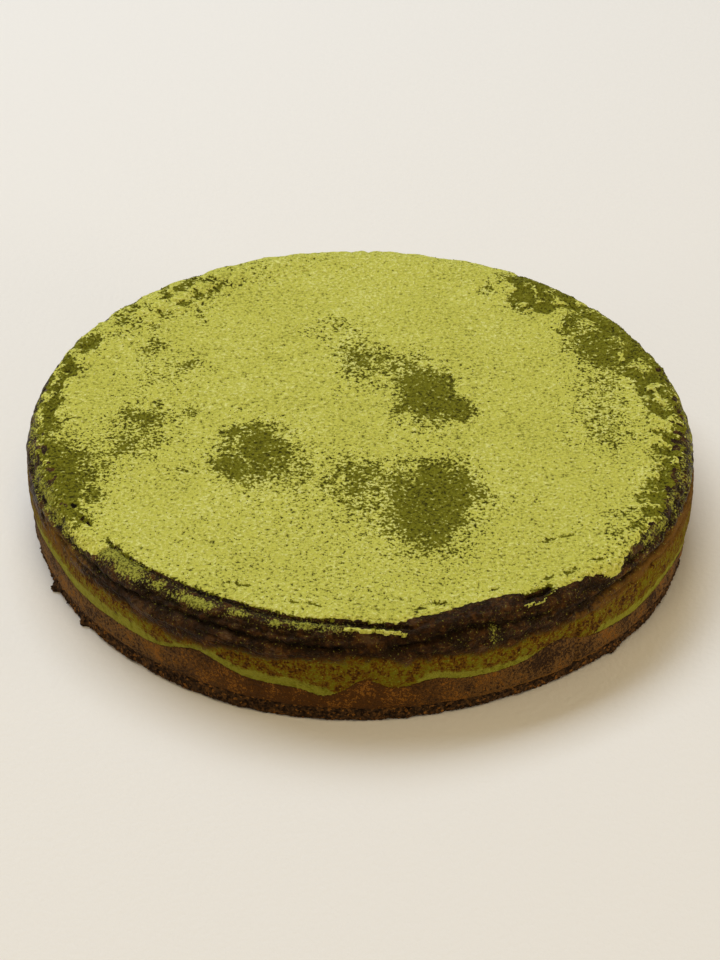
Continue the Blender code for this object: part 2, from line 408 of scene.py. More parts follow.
@dataclass(frozen=True)
class Relief:
    """The folds, cracks, furrows, lips and craters of the green layer's skin.

    A crater stretch has its angle, its spread in degrees, its first run and its strength. A value named
    over or end is a pair of runs or heights between which one kind of skin turns into the next. The values
    named unseen are ranges for the folds at the back.
    """

    folds: tuple = (
        Crease(((222, 31.6), (229, 31.7), (236, 32.6), (245, 33.0), (252, 32.5), (259, 32.2), (268, 31.4)),
               1.7, 0.9),
        Crease(((232, 34.5), (240, 35.0), (250, 35.2), (258, 34.8), (264, 34.0)), 1.0, 0.6),
        Crease(((274, 31.6), (280, 32.5), (285, 34.0), (288, 34.6), (292, 33.6), (297, 33.0), (302, 32.4)),
               1.4, 0.8),
        Crease(((190, 32.9), (200, 33.5), (212, 33.1), (223, 32.2)), 1.3, 0.9),
        Crease(((199, 29.4), (210, 29.9), (222, 29.0), (231, 28.0)), 0.8, 0.8),
        Crease(((300, 30.4), (310, 31.1), (320, 31.7), (332, 32.0)), 1.1, 0.9),
        Crease(((308, 34.6), (318, 35.0), (330, 34.6), (345, 33.8)), 0.9, 0.8),
        Crease(((231, 29.1), (236, 28.6), (240, 28.8), (244, 30.3), (247, 30.9), (251, 29.9)), -0.9, 0.8),
        Crease(((249, 29.7), (254, 30.0), (259, 30.4)), -0.7, 0.6),
        Crease(((253, 28.5), (258, 29.0), (262, 29.8), (266, 31.2)), -0.8, 0.6),
        Crease(((257, 32.9), (260, 33.5), (263, 34.8), (267, 36.0)), -0.9, 0.6),
        Crease(((277, 35.3), (283, 36.1), (289, 36.6), (294, 35.8)), -0.8, 1.0),
        Crease(((281, 30.2), (286, 31.4), (291, 31.6)), -0.6, 0.8),
        Crease(((305, 28.6), (309, 29.4), (315, 29.2)), -0.6, 0.8),
    )
    cracks: tuple = along_run(
        (((220.5, 113.3), (226, 113.7), (232, 113.5), (240, 113.3), (248, 113.4), (252, 114.0)), 1.5, 0.55),
        (((251, 114.2), (258, 114.9), (263, 115.5), (269, 115.7), (273, 116.8), (278, 118.0)), 1.5, 0.7),
        (((282.6, 108.2), (284.0, 109.0), (285.4, 108.8)), 1.1, 0.5, 0.4),
        (((303.9, 110.8), (305.8, 111.2)), 1.0, 0.5, 0.4),
        (((307.6, 112.8), (310.4, 112.5)), 0.9, 0.5, 0.4),
        (((298.4, 115.0), (301.0, 116.2), (303.8, 115.4)), 1.8, 1.2, 0.8),
        (((207.8, 113.2), (209.2, 113.0)), 1.2, 0.8, 0.5),
        (((211.8, 113.5), (215.4, 113.2)), 1.2, 0.6, 0.5),
        (((246.5, 104.0), (247.6, 104.5), (249.5, 103.8)), 0.9, 0.5, 0.4),
        (((244.6, 105.4), (245.8, 105.0)), 0.7, 0.45, 0.4),
        (((257.6, 108.4), (259.4, 108.3)), 0.75, 0.4, 0.4),
        (((261.0, 108.2), (263.4, 108.8)), 0.75, 0.4, 0.4),
        (((279.3, 110.6), (280.9, 110.6)), 0.8, 0.4, 0.4),
        (((293.9, 107.0), (295.4, 108.0)), 0.8, 0.4, 0.4),
        (((311.0, 95.0), (312.6, 95.4), (313.9, 96.5)), 0.9, 0.5, 0.4),
        (((314.7, 97.2), (316.1, 97.8), (317.5, 99.3)), 0.9, 0.5, 0.4),
        (((313.6, 112.2), (315.6, 114.6)), 0.9, 0.5, 0.4),
    )
    furrows: tuple = along_run(
        (((98.4, 118.4), (101.2, 117.6)), 1.0, 0.5, 0.5),
        (((93.6, 115.8), (97.0, 114.4)), 1.0, 0.6, 0.5),
        (((98.8, 112.6), (102.0, 111.4)), 1.0, 0.6, 0.5),
        (((101.2, 105.4), (103.2, 104.8)), 0.8, 0.6, 0.5),
        (((152, 112.6), (160, 113.6), (170, 113.2), (182, 113.8)), 1.3, 1.2),
        (((125, 113.2), (133, 112.0), (141, 113.0), (148, 112.0)), 0.9, 0.9),
        (((121, 106.4), (130, 105.2), (138, 105.8)), 0.6, 0.8),
        (((128, 99.6), (136, 98.8), (143, 99.4)), 0.5, 0.8),
        (((-22, 112.6), (-16, 111.6), (-9, 112.2), (-2, 110.8)), 1.5, 1.3),
        (((1, 111.4), (9, 112.6), (17, 111.0), (26, 112.6)), 1.5, 1.3),
        (((30, 113.6), (38, 112.0), (47, 113.8)), 1.2, 1.2),
    )
    lips: tuple = along_run(
        (((267.6, 117.4), (270.2, 118.1), (272.4, 118.3), (275, 119.0), (277.4, 119.9)), -0.8, 0.7, 0.6),
        (((297.6, 118.0), (299.2, 118.7), (301.0, 118.7), (302.6, 117.0), (304.4, 115.9)), -0.9, 0.42, 0.5),
        (((313.6, 119.6), (315.6, 121.2), (317.0, 121.6)), -0.5, 0.8, 0.6),
    )
    craters: tuple = ((8, 26, 104.5, 1.0), (48, 16, 97.0, 0.9), (337, 14, 106.0, 0.8),
                      (130, 20, 100.0, 0.7), (166, 18, 108.0, 0.9), (200, 14, 106.0, 0.6))
    slit_at: float = 307.0
    slit_lean: float = 0.04
    slit_middle: float = 18.0
    slit_width: float = 0.45
    slit_depth: float = 0.9
    slit_ends: tuple = (28.0, 31.0)
    side_over: tuple = (114.0, 118.0)
    rind_over: tuple = (24.5, 28.0)
    calmer_over: tuple = (112.0, 118.0)
    craters_end: tuple = (118.0, 123.0)
    dome_stretch: tuple = (0.55, 0.55, 2.4)
    wax_stretch: tuple = (1.0, 1.0, 2.6)
    unseen_folds: int = 22
    unseen_from: float = -22.0
    unseen_to: float = 188.0
    unseen_length: tuple = (14.0, 40.0)
    unseen_height: tuple = (28.6, 35.4)
    unseen_sway: tuple = (-0.9, 0.9)
    unseen_groove: tuple = (0.8, 1.6)
    unseen_ridge: tuple = (0.5, 0.9)
    unseen_width: tuple = (0.6, 1.0)
    seed: int = 5

    def back_folds(self) -> list[Crease]:
        """Fold the rind on the side that the photograph doesn't show, like the side that it shows."""
        draw = np.random.default_rng(self.seed)
        folds = []
        for k in range(self.unseen_folds):
            length = draw.uniform(*self.unseen_length)
            start = draw.uniform(self.unseen_from, self.unseen_to - length)
            height = draw.uniform(*self.unseen_height)
            steps = np.cumsum(draw.uniform(*self.unseen_sway, 5))
            path = tuple((start + length * i / 4.0, height + steps[i]) for i in range(5))
            depth = draw.uniform(*self.unseen_groove) if k % 2 else -draw.uniform(*self.unseen_ridge)
            folds.append(Crease(path, depth, draw.uniform(*self.unseen_width)))
        return folds

    def crater_share(self, angle: Array, run: Array) -> Array:
        """How strongly the skin is cratered, from 0 to 1."""
        share = np.zeros(np.broadcast(angle, run).shape)
        for at, spread, start, strength in self.craters:
            there = strength * bump(turn_between(angle, at), spread)
            share = np.maximum(share, there * ramp(run, start - 3.0, start + 4.0))
        return share * (1.0 - ramp(run, *self.craters_end))

    def pits(self, points: Array) -> Array:
        """The lumps and pits of the cratered stretches, from about -1 to 1."""
        lumps = cloud(points, 6.5, 11, 2) + 0.5 * cloud(points, 2.4, 12, 1)
        return 1.6 * ramp(lumps, -0.2, 0.2) - 1.0 + 0.3 * lumps

    def dome(self, points: Array) -> Array:
        """The rind's soft folds, from 0 in the sharp wrinkles between them to 1 on top."""
        stretched = points * np.array(self.dome_stretch)
        return np.clip(3.4 * np.abs(cloud(stretched, 12.0, 22, 2)), 0.0, 1.0) ** 0.7

    def slit(self, angle: Array, height: Array) -> Array:
        """How deep the thin upright crack cuts into the side, through the green layer and the brown."""
        lean = self.slit_lean * (height - self.slit_middle)
        return self.slit_depth * bump(turn_between(angle, self.slit_at) + lean, self.slit_width)

    def rise(self, angle: Array, run: Array, height: Array, points: Array) -> Array:
        """How far the skin stands out of the plain form.

        Args:
            angle: degrees round the cake.
            run: the way along the skin.
            height: the height above the floor.
            points: the same places on the plain form.

        Returns:
            The relief at each point, along the skin's normal.
        """
        pressed = np.zeros(angle.shape)
        for crease in (*self.folds, *self.back_folds(), *self.cracks, *self.furrows, *self.lips):
            pressed += crease.press(angle, run, height)
        side = ramp(run, *self.side_over)
        rind = side * ramp(height, *self.rind_over)
        flat = points * np.array(self.wax_stretch)
        waxy = 0.4 * cloud(flat, 9.0, 21, 2) + 0.9 * self.dome(points)
        waxy = waxy + 0.08 * cloud(points, 2.0, 26, 2) - 0.5
        pitted = 0.16 * cloud(points, 1.9, 23, 2) + 0.2 * cloud(points, 8.0, 24, 1)
        top = 0.28 * cloud(points, 17.0, 25, 2)
        near_rim = 1.0 - 0.8 * ramp(run, *self.calmer_over)
        crater = self.crater_share(angle, run) * near_rim * 0.6 * (self.pits(points) - 0.2)
        slit = self.slit(angle, height) * side * (1.0 - ramp(height, *self.slit_ends))
        return rind * waxy + side * (1.0 - rind) * pitted + (1.0 - side) * top + crater - pressed - slit


RELIEF = Relief()


@dataclass(frozen=True)
class Skin:
    """The skin of the green layer as a surface over angle and run."""

    profile: tuple = field(default_factory=FORM.cake_profile)
    step: float = 0.2
    softening: float = 1.1
    reach: int = 16

    def curve(self) -> tuple[Array, Array, Array]:
        """The profile drawn as a soft curve.

        Returns:
            The runs of its points, their radii and their heights.
        """
        radii, heights = np.array(self.profile).T
        way = np.concatenate([[0.0], np.cumsum(np.hypot(np.diff(radii), np.diff(heights)))])
        runs = np.arange(0.0, way[-1] + self.step, self.step)
        offsets = np.arange(-self.reach, self.reach + 1) * self.step
        before, after = offsets[:self.reach], offsets[self.reach + 1:]
        weights = bump(offsets, self.softening)
        weights = weights / weights.sum()
        soft = []
        for values in (radii, heights):
            first = values[0] + (values[1] - values[0]) * before / way[1]
            last = values[-1] + (values[-1] - values[-2]) * (after / (way[-1] - way[-2]))
            even = np.concatenate([first, np.interp(runs, way, values), last])
            soft.append(np.convolve(even, weights, mode="valid"))
        return runs, soft[0], soft[1]

    def last_run(self) -> float:
        """The run of the layer line."""
        return float(self.curve()[0][-1])

    def lay(self, angle: Array, run: Array, thickness: float = 0.0, relief: bool = True) -> "Laid":
        """Find points of the skin.

        Args:
            angle: degrees round the cake.
            run: the way along the skin.
            thickness: how far above the skin the points lie.
            relief: whether folds and cracks are there.

        Returns:
            The points with what is known of them.
        """
        runs, radii, heights = self.curve()
        radius, height = np.interp(run, runs, radii), np.interp(run, runs, heights)
        out = np.interp(run, runs, -np.gradient(heights, runs))
        up = np.interp(run, runs, np.gradient(radii, runs))
        moved, lifted = FORM.settle(angle, radius, height)
        plain, normal = turned(angle, moved, lifted), turned(angle, out, up)
        rise = RELIEF.rise(angle, run, lifted, plain) if relief else np.zeros(angle.shape)
        points = plain + normal * (rise + thickness)[..., None]
        return Laid(points, normal, angle, run, lifted)


@dataclass(frozen=True)
class Laid:
    """Points of the skin, with their normals, angles, runs and heights."""

    points: Array
    normal: Array
    angle: Array
    run: Array
    height: Array


SKIN = Skin()


# Meshes

# The width that a map spreads over, and the stretch of it that holds a lower layer's side
MAP_WIDTH = 340.0
WALL_MAP_FROM = 150.0
WALL_MAP_WIDE = 12.0


def turn_grid(runs: Array, count: int) -> tuple[Array, Array]:
    """Lay out a grid of places round the cake.

    Args:
        runs: one value for each ring.
        count: how many points each ring has.

    Returns:
        The angle and the ring's value of each point, one row for each ring.
    """
    angle = np.arange(count) * 360.0 / count
    return np.meshgrid(angle, runs)


def round_map(angle: Array, reach: Array) -> Array:
    """Spread a turned surface flat, as seen along its axis.

    Args:
        angle: degrees round the cake.
        reach: how far from the middle of the map, which is 1 wide, each point lies.

    Returns:
        The map's two coordinates for each point.
    """
    turn = np.radians(angle)
    return np.stack([0.5 + reach * np.cos(turn), 0.5 + reach * np.sin(turn)], axis=-1)


def corner_map(points: Array) -> Array:
    """Put a hidden face into a small corner of the map, seen from above."""
    return 0.95 + points[..., :2] * 0.0003


def side_wall(nominal: Array, profile: tuple, around: int) -> tuple[Array, Array, Array, Array]:
    """Lay the plain side of one of the two lower layers.

    Args:
        nominal: the nominal height of each ring, from the top down.
        profile: pairs of height and radius, from the foot up.
        around: how many points each ring has.

    Returns:
        For each point its angle, its place, the way out from the axis and its place on the map.
    """
    angle, height = turn_grid(nominal, around)
    radii = np.interp(nominal, *np.array(profile).T)
    moved, lifted = FORM.settle(angle, np.broadcast_to(radii[:, None], angle.shape), height)
    reach = WALL_MAP_FROM + WALL_MAP_WIDE * np.linspace(0.0, 1.0, len(nominal))[:, None]
    out = turned(angle, 1.0, np.zeros(angle.shape))
    return angle, turned(angle, moved, lifted), out, round_map(angle, reach / MAP_WIDTH)


def stitch(inner: Array, outer: Array) -> Array:
    """Join two rings whose counts may differ.

    Args:
        inner: point numbers of the first ring.
        outer: point numbers of the ring outside or below it.

    Returns:
        The triangles between them, facing out.
    """
    few, many = len(inner), len(outer)
    of_inner = (np.arange(few) + 1.0) / few if few > 1 else np.empty(0)
    of_outer = (np.arange(many) + 1.0) / many if many > 1 else np.empty(0)
    is_outer = np.concatenate([np.zeros(len(of_inner), bool), np.ones(len(of_outer), bool)])
    is_outer = is_outer[np.argsort(np.concatenate([of_inner, of_outer]), kind="stable")]
    past_outer, past_inner = np.cumsum(is_outer) - is_outer, np.cumsum(~is_outer) - ~is_outer
    third = np.where(is_outer, outer[(past_outer + 1) % many], inner[(past_inner + 1) % few])
    return np.stack([inner[past_inner % few], outer[past_outer % many], third], axis=-1)


class RingMesh:
    """A closed surface made of rings, from the pole on top, over the side, to the pole below."""

    def __init__(self) -> None:
        """Start with no rings."""
        self.points: list[Array] = []
        self.faces: list[Array] = []
        self.maps: list[Array] = []
        self.values: list[dict[str, Array]] = []
        self.count = 0
        self.last: tuple[Array, Array] | None = None

    def add(self, points: Array, flat: Array, seam: Array | None = None, **values: Array) -> None:
        """Add rows of points, each row a ring, and join them to the last ring.

        Args:
            points: rows of points in millimetres.
            flat: the map's coordinates of the points.
            seam: the map's coordinates of the last ring, where this part of the map lies apart.
            values: numbers that the material reads, one for each point.
        """
        rows, around = points.shape[:2]
        held = len(self.last[0]) if self.last is not None else 0
        start = self.count - held
        faces = []
        index = held + np.arange(rows * around).reshape(rows, around)
        if held:
            faces.append(stitch(np.arange(held), index[0]))
        if rows > 1 and around > 1:
            a, b = index[:-1], index[1:]
            c, d = np.roll(b, -1, axis=1), np.roll(a, -1, axis=1)
            faces.append(np.stack([a, b, c], axis=-1).reshape(-1, 3))
            faces.append(np.stack([a, c, d], axis=-1).reshape(-1, 3))
        local = flat.reshape(-1, 2)
        if held:
            local = np.concatenate([self.last[1] if seam is None else seam, local])
        for piece in faces:
            self.faces.append(piece + start)
            self.maps.append(local[piece])
        self.points.append(points.reshape(-1, 3))
        self.values.append({name: np.asarray(value).reshape(-1) for name, value in values.items()})
        self.count += rows * around
        self.last = (points[-1], flat[-1])

    def add_disc(self, height: float, rings: tuple, gap: float = 0.0) -> None:
        """Add rings across the inside or the foot of the cake.

        Args:
            height: the nominal height of the disc.
            rings: for each ring, its share of the cake's radius and its count.
            gap: how far above that height the rings lie.
        """
        for share, count in rings:
            angle, radius = turn_grid(np.array([share * FORM.radius]), count)
            moved, lifted = FORM.settle(angle, radius, np.full(angle.shape, height))
            points = turned(angle, moved, lifted + gap)
            seam = corner_map(self.last[0]) if self.last is not None else None
            self.add(points, corner_map(points), seam)

    def finish(self, name: str, material: Material) -> Object:
        """Make the object.

        Args:
            name: the piece's name.
            material: its finish.

        Returns:
            The new object, in the scene.
        """
        return make_object(name, np.concatenate(self.points), np.concatenate(self.faces), material,
                           np.concatenate(self.maps), self.gathered())

    def gathered(self) -> dict[str, Array]:
        """The material's numbers for all points, 0 where a part of the mesh has none."""
        names = {name for part in self.values for name in part}
        sizes = [len(points) for points in self.points]
        return {
            name: np.concatenate([part.get(name, np.zeros(size)) for part, size in zip(self.values, sizes)])
            for name in sorted(names)
        }


def make_object(name: str, points: Array, faces: Array, material: Material,
                flat: Array | None = None, values: dict[str, Array] | None = None) -> Object:
    """Make a smooth mesh object from its triangles.

    Args:
        name: the object's name.
        points: its points in millimetres.
        faces: three point numbers for each triangle.
        material: its finish.
        flat: the map's coordinates for each corner of each triangle.
        values: numbers that the material reads, one for each point.

    Returns:
        The new object, in the scene.
    """
    mesh = bpy.data.meshes.new(name)
    mesh.vertices.add(len(points))
    mesh.vertices.foreach_set("co", (points * MM).astype(np.float32).ravel())
    mesh.loops.add(faces.size)
    mesh.loops.foreach_set("vertex_index", faces.astype(np.int32).ravel())
    mesh.polygons.add(len(faces))
    mesh.polygons.foreach_set("loop_start", np.arange(0, faces.size, 3, dtype=np.int32))
    mesh.update(calc_edges=True)
    if flat is not None:
        layer = mesh.uv_layers.new(name=BAKE_MAP)
        layer.data.foreach_set("uv", flat.astype(np.float32).ravel())
    for title, numbers in (values or {}).items():
        attribute = mesh.attributes.new(title, "FLOAT", "POINT")
        attribute.data.foreach_set("value", numbers.astype(np.float32))
    mesh.shade_smooth()
    mesh.materials.append(material)
    made = bpy.data.objects.new(name, mesh)
    bpy.context.scene.collection.objects.link(made)
    return made


def ride_as(piece: Object, slot: str, *nodes: str) -> None:
    """Tie a finished piece to the frame.

    Args:
        piece: the finished object.
        slot: the name of a material slot; not used.
        nodes: the solids that it stands for.
    """
    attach(piece, "root")
    if nodes:
        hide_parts(*nodes)
    LOG.info("%s: %d triangles", piece.name, len(piece.data.polygons))


# Finishes

def add_node(tree: NodeTree, kind: str, inputs: dict | None = None, out: int | str = 0,
             stops: tuple = (), **settings: object) -> NodeSocket | None:
    """Add a node with its settings, values and links.

    Args:
        tree: the tree that it goes into.
        kind: the node's type.
        inputs: for each input's name or number, a socket to link or a value to set.
        out: the name or number of the output that is wanted.
        stops: for a colour ramp, pairs of place and colour.
        settings: the node's own properties.

    Returns:
        The wanted output, or None where the node has none.
    """
    node = tree.nodes.new(kind)
    for title, value in settings.items():
        setattr(node, title, value)
    for title, value in (inputs or {}).items():
        if isinstance(value, NodeSocket):
            tree.links.new(value, node.inputs[title])
        else:
            node.inputs[title].default_value = value
    for k, (place, colour) in enumerate(stops):
        band = node.color_ramp.elements
        stop = band[k] if k < len(band) else band.new(place)
        stop.position, stop.color = place, colour
    return node.outputs[out] if node.outputs else None


@dataclass(frozen=True)
class Finish:
    """What every finish has: its name, its gloss, the size of its finest grain and the tint of its sheen.

    The other sizes in a finish are the widths of its patterns' blobs and, as relief, how deep its finest
    unevenness is, all in millimetres.
    """

    name: str
    roughness: float
    specular: float
    grain: float
    sheen_tint: str = "FFE8C8"

    def start(self) -> tuple[Material, NodeTree, NodeSocket]:
        """Begin a material.

        Returns:
            The material, its empty tree, and the socket that holds places on the object in metres.
        """
        material = bpy.data.materials.new(self.name)
        material.use_nodes = True
        material.node_tree.nodes.clear()
        tree = material.node_tree
        return material, tree, add_node(tree, "ShaderNodeTexCoord", out="Object")

    def sum(self, tree: NodeTree, start: NodeSocket, *parts: tuple[NodeSocket, float]) -> NodeSocket:
        """Add noises, each centred on 0 and scaled, to a number."""
        total = start
        for part, strength in parts:
            total = add_node(tree, "ShaderNodeMath", {0: part, 1: strength, 2: total},
                             operation="MULTIPLY_ADD")
            total = add_node(tree, "ShaderNodeMath", {0: total, 1: 0.5 * strength}, operation="SUBTRACT")
        return total

    def mask(self, tree: NodeTree, span: tuple[float, float], start: NodeSocket,
             *parts: tuple[NodeSocket, float]) -> NodeSocket:
        """Find where a number, made uneven by noises, has risen.

        Args:
            tree: the material's tree.
            span: the values at which the mask is 0 and 1.
            start: the number.
            parts: noises with their strengths.

        Returns:
            The mask, from 0 to 1.
        """
        return add_node(tree, "ShaderNodeMapRange", {
            "Value": self.sum(tree, start, *parts), "From Min": span[0], "From Max": span[1],
        }, interpolation_type="SMOOTHSTEP")

    def toned(self, tree: NodeTree, stops: tuple, start: NodeSocket,
              *parts: tuple[NodeSocket, float]) -> NodeSocket:
        """Turn a number, made uneven by noises, to colours.

        Args:
            tree: the material's tree.
            stops: pairs of value and hex colour.
            start: the number.
            parts: noises with their strengths.

        Returns:
            The colour.
        """
        return add_node(tree, "ShaderNodeValToRGB", {"Fac": self.sum(tree, start, *parts)}, "Color",
                        stops=tuple((place, linear(colour)) for place, colour in stops))

    def close(self, tree: NodeTree, colour: NodeSocket | tuple, height: NodeSocket, depth: float,
              roughness: NodeSocket | None = None) -> None:
        """Join colour, relief and gloss to the surface.

        Args:
            tree: the material's tree.
            colour: the colour.
            height: the fine relief, from 0 to 1.
            depth: how deep that relief is in millimetres.
            roughness: the roughness where it changes over the surface.
        """
        relief = add_node(tree, "ShaderNodeBump", {"Height": height, "Distance": depth * MM, "Strength": 1.0})
        shader = add_node(tree, "ShaderNodeBsdfPrincipled", {
            "Base Color": colour, "Normal": relief, "IOR": FOOD_IOR, "Specular IOR Level": self.specular,
            "Specular Tint": linear(self.sheen_tint),
            "Roughness": self.roughness if roughness is None else roughness,
        }, "BSDF")
        add_node(tree, "ShaderNodeOutputMaterial", {"Surface": shader})


@dataclass(frozen=True)
class PowderFinish(Finish):
    """Finely milled green tea powder, sieved on dry: matt and grainy, dark and olive where it is damp, and
    near-black as painted shade in its cracks.

    The real grains are far finer than the render can show, so the clumps are drawn 1.15 mm wide.
    """

    name: str = "sieved_matcha_powder"
    roughness: float = 0.95
    specular: float = 0.12
    grain: float = 1.15
    clump: float = 2.4
    drift: float = 26.0
    relief: float = 1.4
    dry_shadow: str = "96943A"
    dry: str = "C5C252"
    dry_light: str = "DEDC80"
    damp: str = "73711A"
    damp_light: str = "A19E44"
    damp_deep: str = "3A380F"
    # A near-black painted shade for the powder in the cracks.
    painted_hollow_shade: str = "17130B"

    def material(self) -> Material:
        """Make the material."""
        material, tree, place = self.start()
        fine, speck, broad = (
            add_node(tree, "ShaderNodeTexNoise", {
                "Vector": place, "Scale": per_metre(size), "Detail": detail, "Roughness": ROUGHENING}, "Fac")
            for size, detail in ((self.grain, 2.0), (self.clump, 3.0), (self.drift, 3.0)))
        damp = add_node(tree, "ShaderNodeAttribute", {}, "Fac", attribute_name="damp")
        tone = self.sum(tree, fine, (broad, 0.25), (speck, 0.35))
        # The darker and lighter specks of these ramps are partly the powder's own uneven tone and partly
        # painted shade and highlight of its tiny grains and pits.
        dry = self.toned(tree, ((0.3, self.dry_shadow), (0.45, self.dry), (0.55, self.dry),
                                (0.7, self.dry_light)), tone)
        wet = self.toned(tree, ((0.3, self.damp_deep), (0.46, self.damp), (0.6, self.damp),
                                (0.78, self.damp_light)), tone)
        dampened = self.mask(tree, (0.32, 0.62), damp, (fine, -1.9), (speck, -0.9))
        colour = add_node(tree, "ShaderNodeMix", {SHARE: dampened, UNDER: dry, OVER: wet}, **COLOURS)
        # Painted shade: where the dampness runs over 1.25, as it does in the cracks and the deepest pits, the
        # powder goes towards near black.
        deep = self.mask(tree, (1.25, 1.6), damp, (speck, 0.8))
        colour = add_node(tree, "ShaderNodeMix", {SHARE: deep, UNDER: colour, OVER: linear(self.painted_hollow_shade)},
                          **COLOURS)
        self.close(tree, colour, self.sum(tree, fine, (speck, 0.6)), self.relief)
        return material


@dataclass(frozen=True)
class BakedMatchaFinish(Finish):
    """Baked green cream: a matt green band, a mottled brown side above it and a dark waxy rind, with painted
    highlight on the tops of its folds and painted shade in its creases.
    """

    name: str = "baked_matcha_cream"
    roughness: float = 0.8
    specular: float = 0.14
    grain: float = 0.5
    sheen_tint: str = "FFCF8C"
    rind_roughness: float = 0.42
    relief: float = 0.6
    blotch: float = 8.0
    mottle: float = 2.4
    speck: float = 0.9
    wrinkle: float = 2.2
    streak_stretch: tuple = (1.0, 1.0, 0.7)
    wrinkle_stretch: tuple = (1.0, 1.0, 2.6)
    green: str = "858228"
    green_dark: str = "6C6914"
    mottle_green: str = "6E620C"
    mottle_brown: str = "644008"
    mottle_dark: str = "301B06"
    brown: str = "4A2C0E"
    rind_dark: str = "150B05"
    rind: str = "2A170B"
    rind_light: str = "50300F"
    # A paler colour painted on the tops of the rind's soft folds as a highlight, where a waxy sheen would
    # catch the light.
    crest: str = "4E3A26"
    warm: str = "69491C"
    # A near-black painted shade for the rind's folds, wrinkles and cracks.
    painted_hollow_shade: str = "080504"
    dust: str = "9A993E"
    dust_dark: str = "57561E"

    def material(self) -> Material:
        """Make the material."""
        material, tree, place = self.start()
        streaks, creased = (add_node(tree, "ShaderNodeMapping", {"Vector": place, "Scale": stretch})
                            for stretch in (self.streak_stretch, self.wrinkle_stretch))
        broad, mid, speck, fine, crease = (
            add_node(tree, "ShaderNodeTexNoise", {
                "Vector": spot, "Scale": per_metre(size), "Detail": detail, "Roughness": ROUGHENING}, "Fac")
            for spot, size, detail in (
                (place, self.blotch, 3.0), (streaks, self.mottle, 3.0), (place, self.speck, 2.0),
                (place, self.grain, 2.0), (creased, self.wrinkle, 2.0)))
        over_line, over_rind, band, domed, warmth, fold, powder = (
            add_node(tree, "ShaderNodeAttribute", {}, "Fac", attribute_name=title)
            for title in ("over_line", "over_rind", "band", "dome", "warm", "fold", "dust"))

        mottle = self.toned(tree, (
            (0.24, self.mottle_dark), (0.42, self.mottle_brown), (0.58, self.mottle_green),
            (0.78, self.green_dark)), mid, (broad, 0.5), (speck, 0.8), (fine, 0.5))
        cream = self.toned(tree, ((0.3, self.green_dark), (0.55, self.green)), mid, (speck, 0.5))
        under_edge = add_node(tree, "ShaderNodeMath", {0: band, 1: over_line}, operation="SUBTRACT")
        in_band = self.mask(tree, (-0.8, 0.8), under_edge, (mid, 3.2), (speck, 1.8))
        side = add_node(tree, "ShaderNodeMix", {SHARE: in_band, UNDER: mottle, OVER: cream}, **COLOURS)
        above = self.mask(tree, (0.1, 0.4), over_line, (speck, 1.6), (fine, 0.8))
        side = add_node(tree, "ShaderNodeMix", {SHARE: above, UNDER: linear(self.brown), OVER: side},
                        **COLOURS)

        skin = self.toned(tree, ((0.3, self.rind_dark), (0.52, self.rind), (0.78, self.rind_light)),
                          broad, (mid, 0.9), (speck, 0.4), (crease, 0.4))
        # Painted highlight: the crest colour goes on the tops of the rind's domes.
        painted_highlight = self.mask(tree, (1.0, 1.75), domed, (broad, 2.2), (crease, 0.8), (speck, 0.4))
        warmed = self.mask(tree, (0.35, 0.9), warmth, (broad, 1.4), (mid, 0.8), (speck, 0.5))
        for share, tint in ((painted_highlight, self.crest), (warmed, self.warm)):
            skin = add_node(tree, "ShaderNodeMix", {SHARE: share, UNDER: skin, OVER: linear(tint)}, **COLOURS)

        in_rind = self.mask(tree, (-1.4, 1.4), over_rind, (broad, 9.0), (mid, 5.0), (speck, 4.0), (fine, 2.0))
        dust = self.toned(tree, ((0.36, self.dust_dark), (0.6, self.dust)), speck, (fine, 0.8))
        dusted = self.mask(tree, (0.26, 0.76), powder, (speck, 1.4), (fine, 1.8))
        colour = side
        # Painted shade: the creases and cracks go towards near black, by how deep in them each point lies.
        for share, over in ((in_rind, skin), (fold, linear(self.painted_hollow_shade)), (dusted, dust)):
            colour = add_node(tree, "ShaderNodeMix", {SHARE: share, UNDER: colour, OVER: over}, **COLOURS)

        gloss = add_node(tree, "ShaderNodeMapRange", {
            "Value": in_rind, "To Min": self.roughness, "To Max": self.rind_roughness})
        for matt in (dusted, warmed):
            gloss = add_node(tree, "ShaderNodeMath", {0: gloss, 1: matt}, operation="MAXIMUM")
        self.close(tree, colour, self.sum(tree, speck, (crease, 1.6), (fine, 0.4)), self.relief, gloss)
        return material


@dataclass(frozen=True)
class BrownFinish(Finish):
    """Baked brown cream cheese: matt and finely pitted, with orange flecks where it touched the ring."""

    name: str = "baked_brown_cream"
    roughness: float = 0.75
    specular: float = 0.15
    grain: float = 0.5
    blotch: float = 9.0
    pit: float = 1.0
    relief: float = 0.6
    body: str = "6E4E26"
    dark: str = "301D0E"
    fleck: str = "84541A"
    toasted: str = "4E2D0A"
    seam: str = "7A5420"

    def material(self) -> Material:
        """Make the material."""
        material, tree, place = self.start()
        broad, fine, pit = (
            add_node(tree, "ShaderNodeTexNoise", {
                "Vector": place, "Scale": per_metre(size), "Detail": detail, "Roughness": ROUGHENING}, "Fac")
            for size, detail in ((self.blotch, 3.0), (self.grain, 2.0), (self.pit, 2.0)))
        toast, over_base = (add_node(tree, "ShaderNodeAttribute", {}, "Fac", attribute_name=title)
                            for title in ("toasted", "over_base"))
        colour = self.toned(tree, ((0.32, self.dark), (0.56, self.body)), broad, (fine, 0.5), (pit, 1.1))
        toasted = self.mask(tree, (0.1, 0.9), toast, (pit, 1.0), (broad, 0.8))
        flecks = self.mask(tree, (0.63, 0.75), pit, (broad, 1.1), (fine, 0.6))
        near_seam = self.mask(tree, (0.75, 0.3), over_base, (pit, 1.2), (broad, 2.4))
        for share, tint in ((toasted, self.toasted), (flecks, self.fleck), (near_seam, self.seam)):
            colour = add_node(tree, "ShaderNodeMix", {SHARE: share, UNDER: colour, OVER: linear(tint)},
                              **COLOURS)
        self.close(tree, colour, self.sum(tree, fine, (pit, 1.0)), self.relief)
        return material


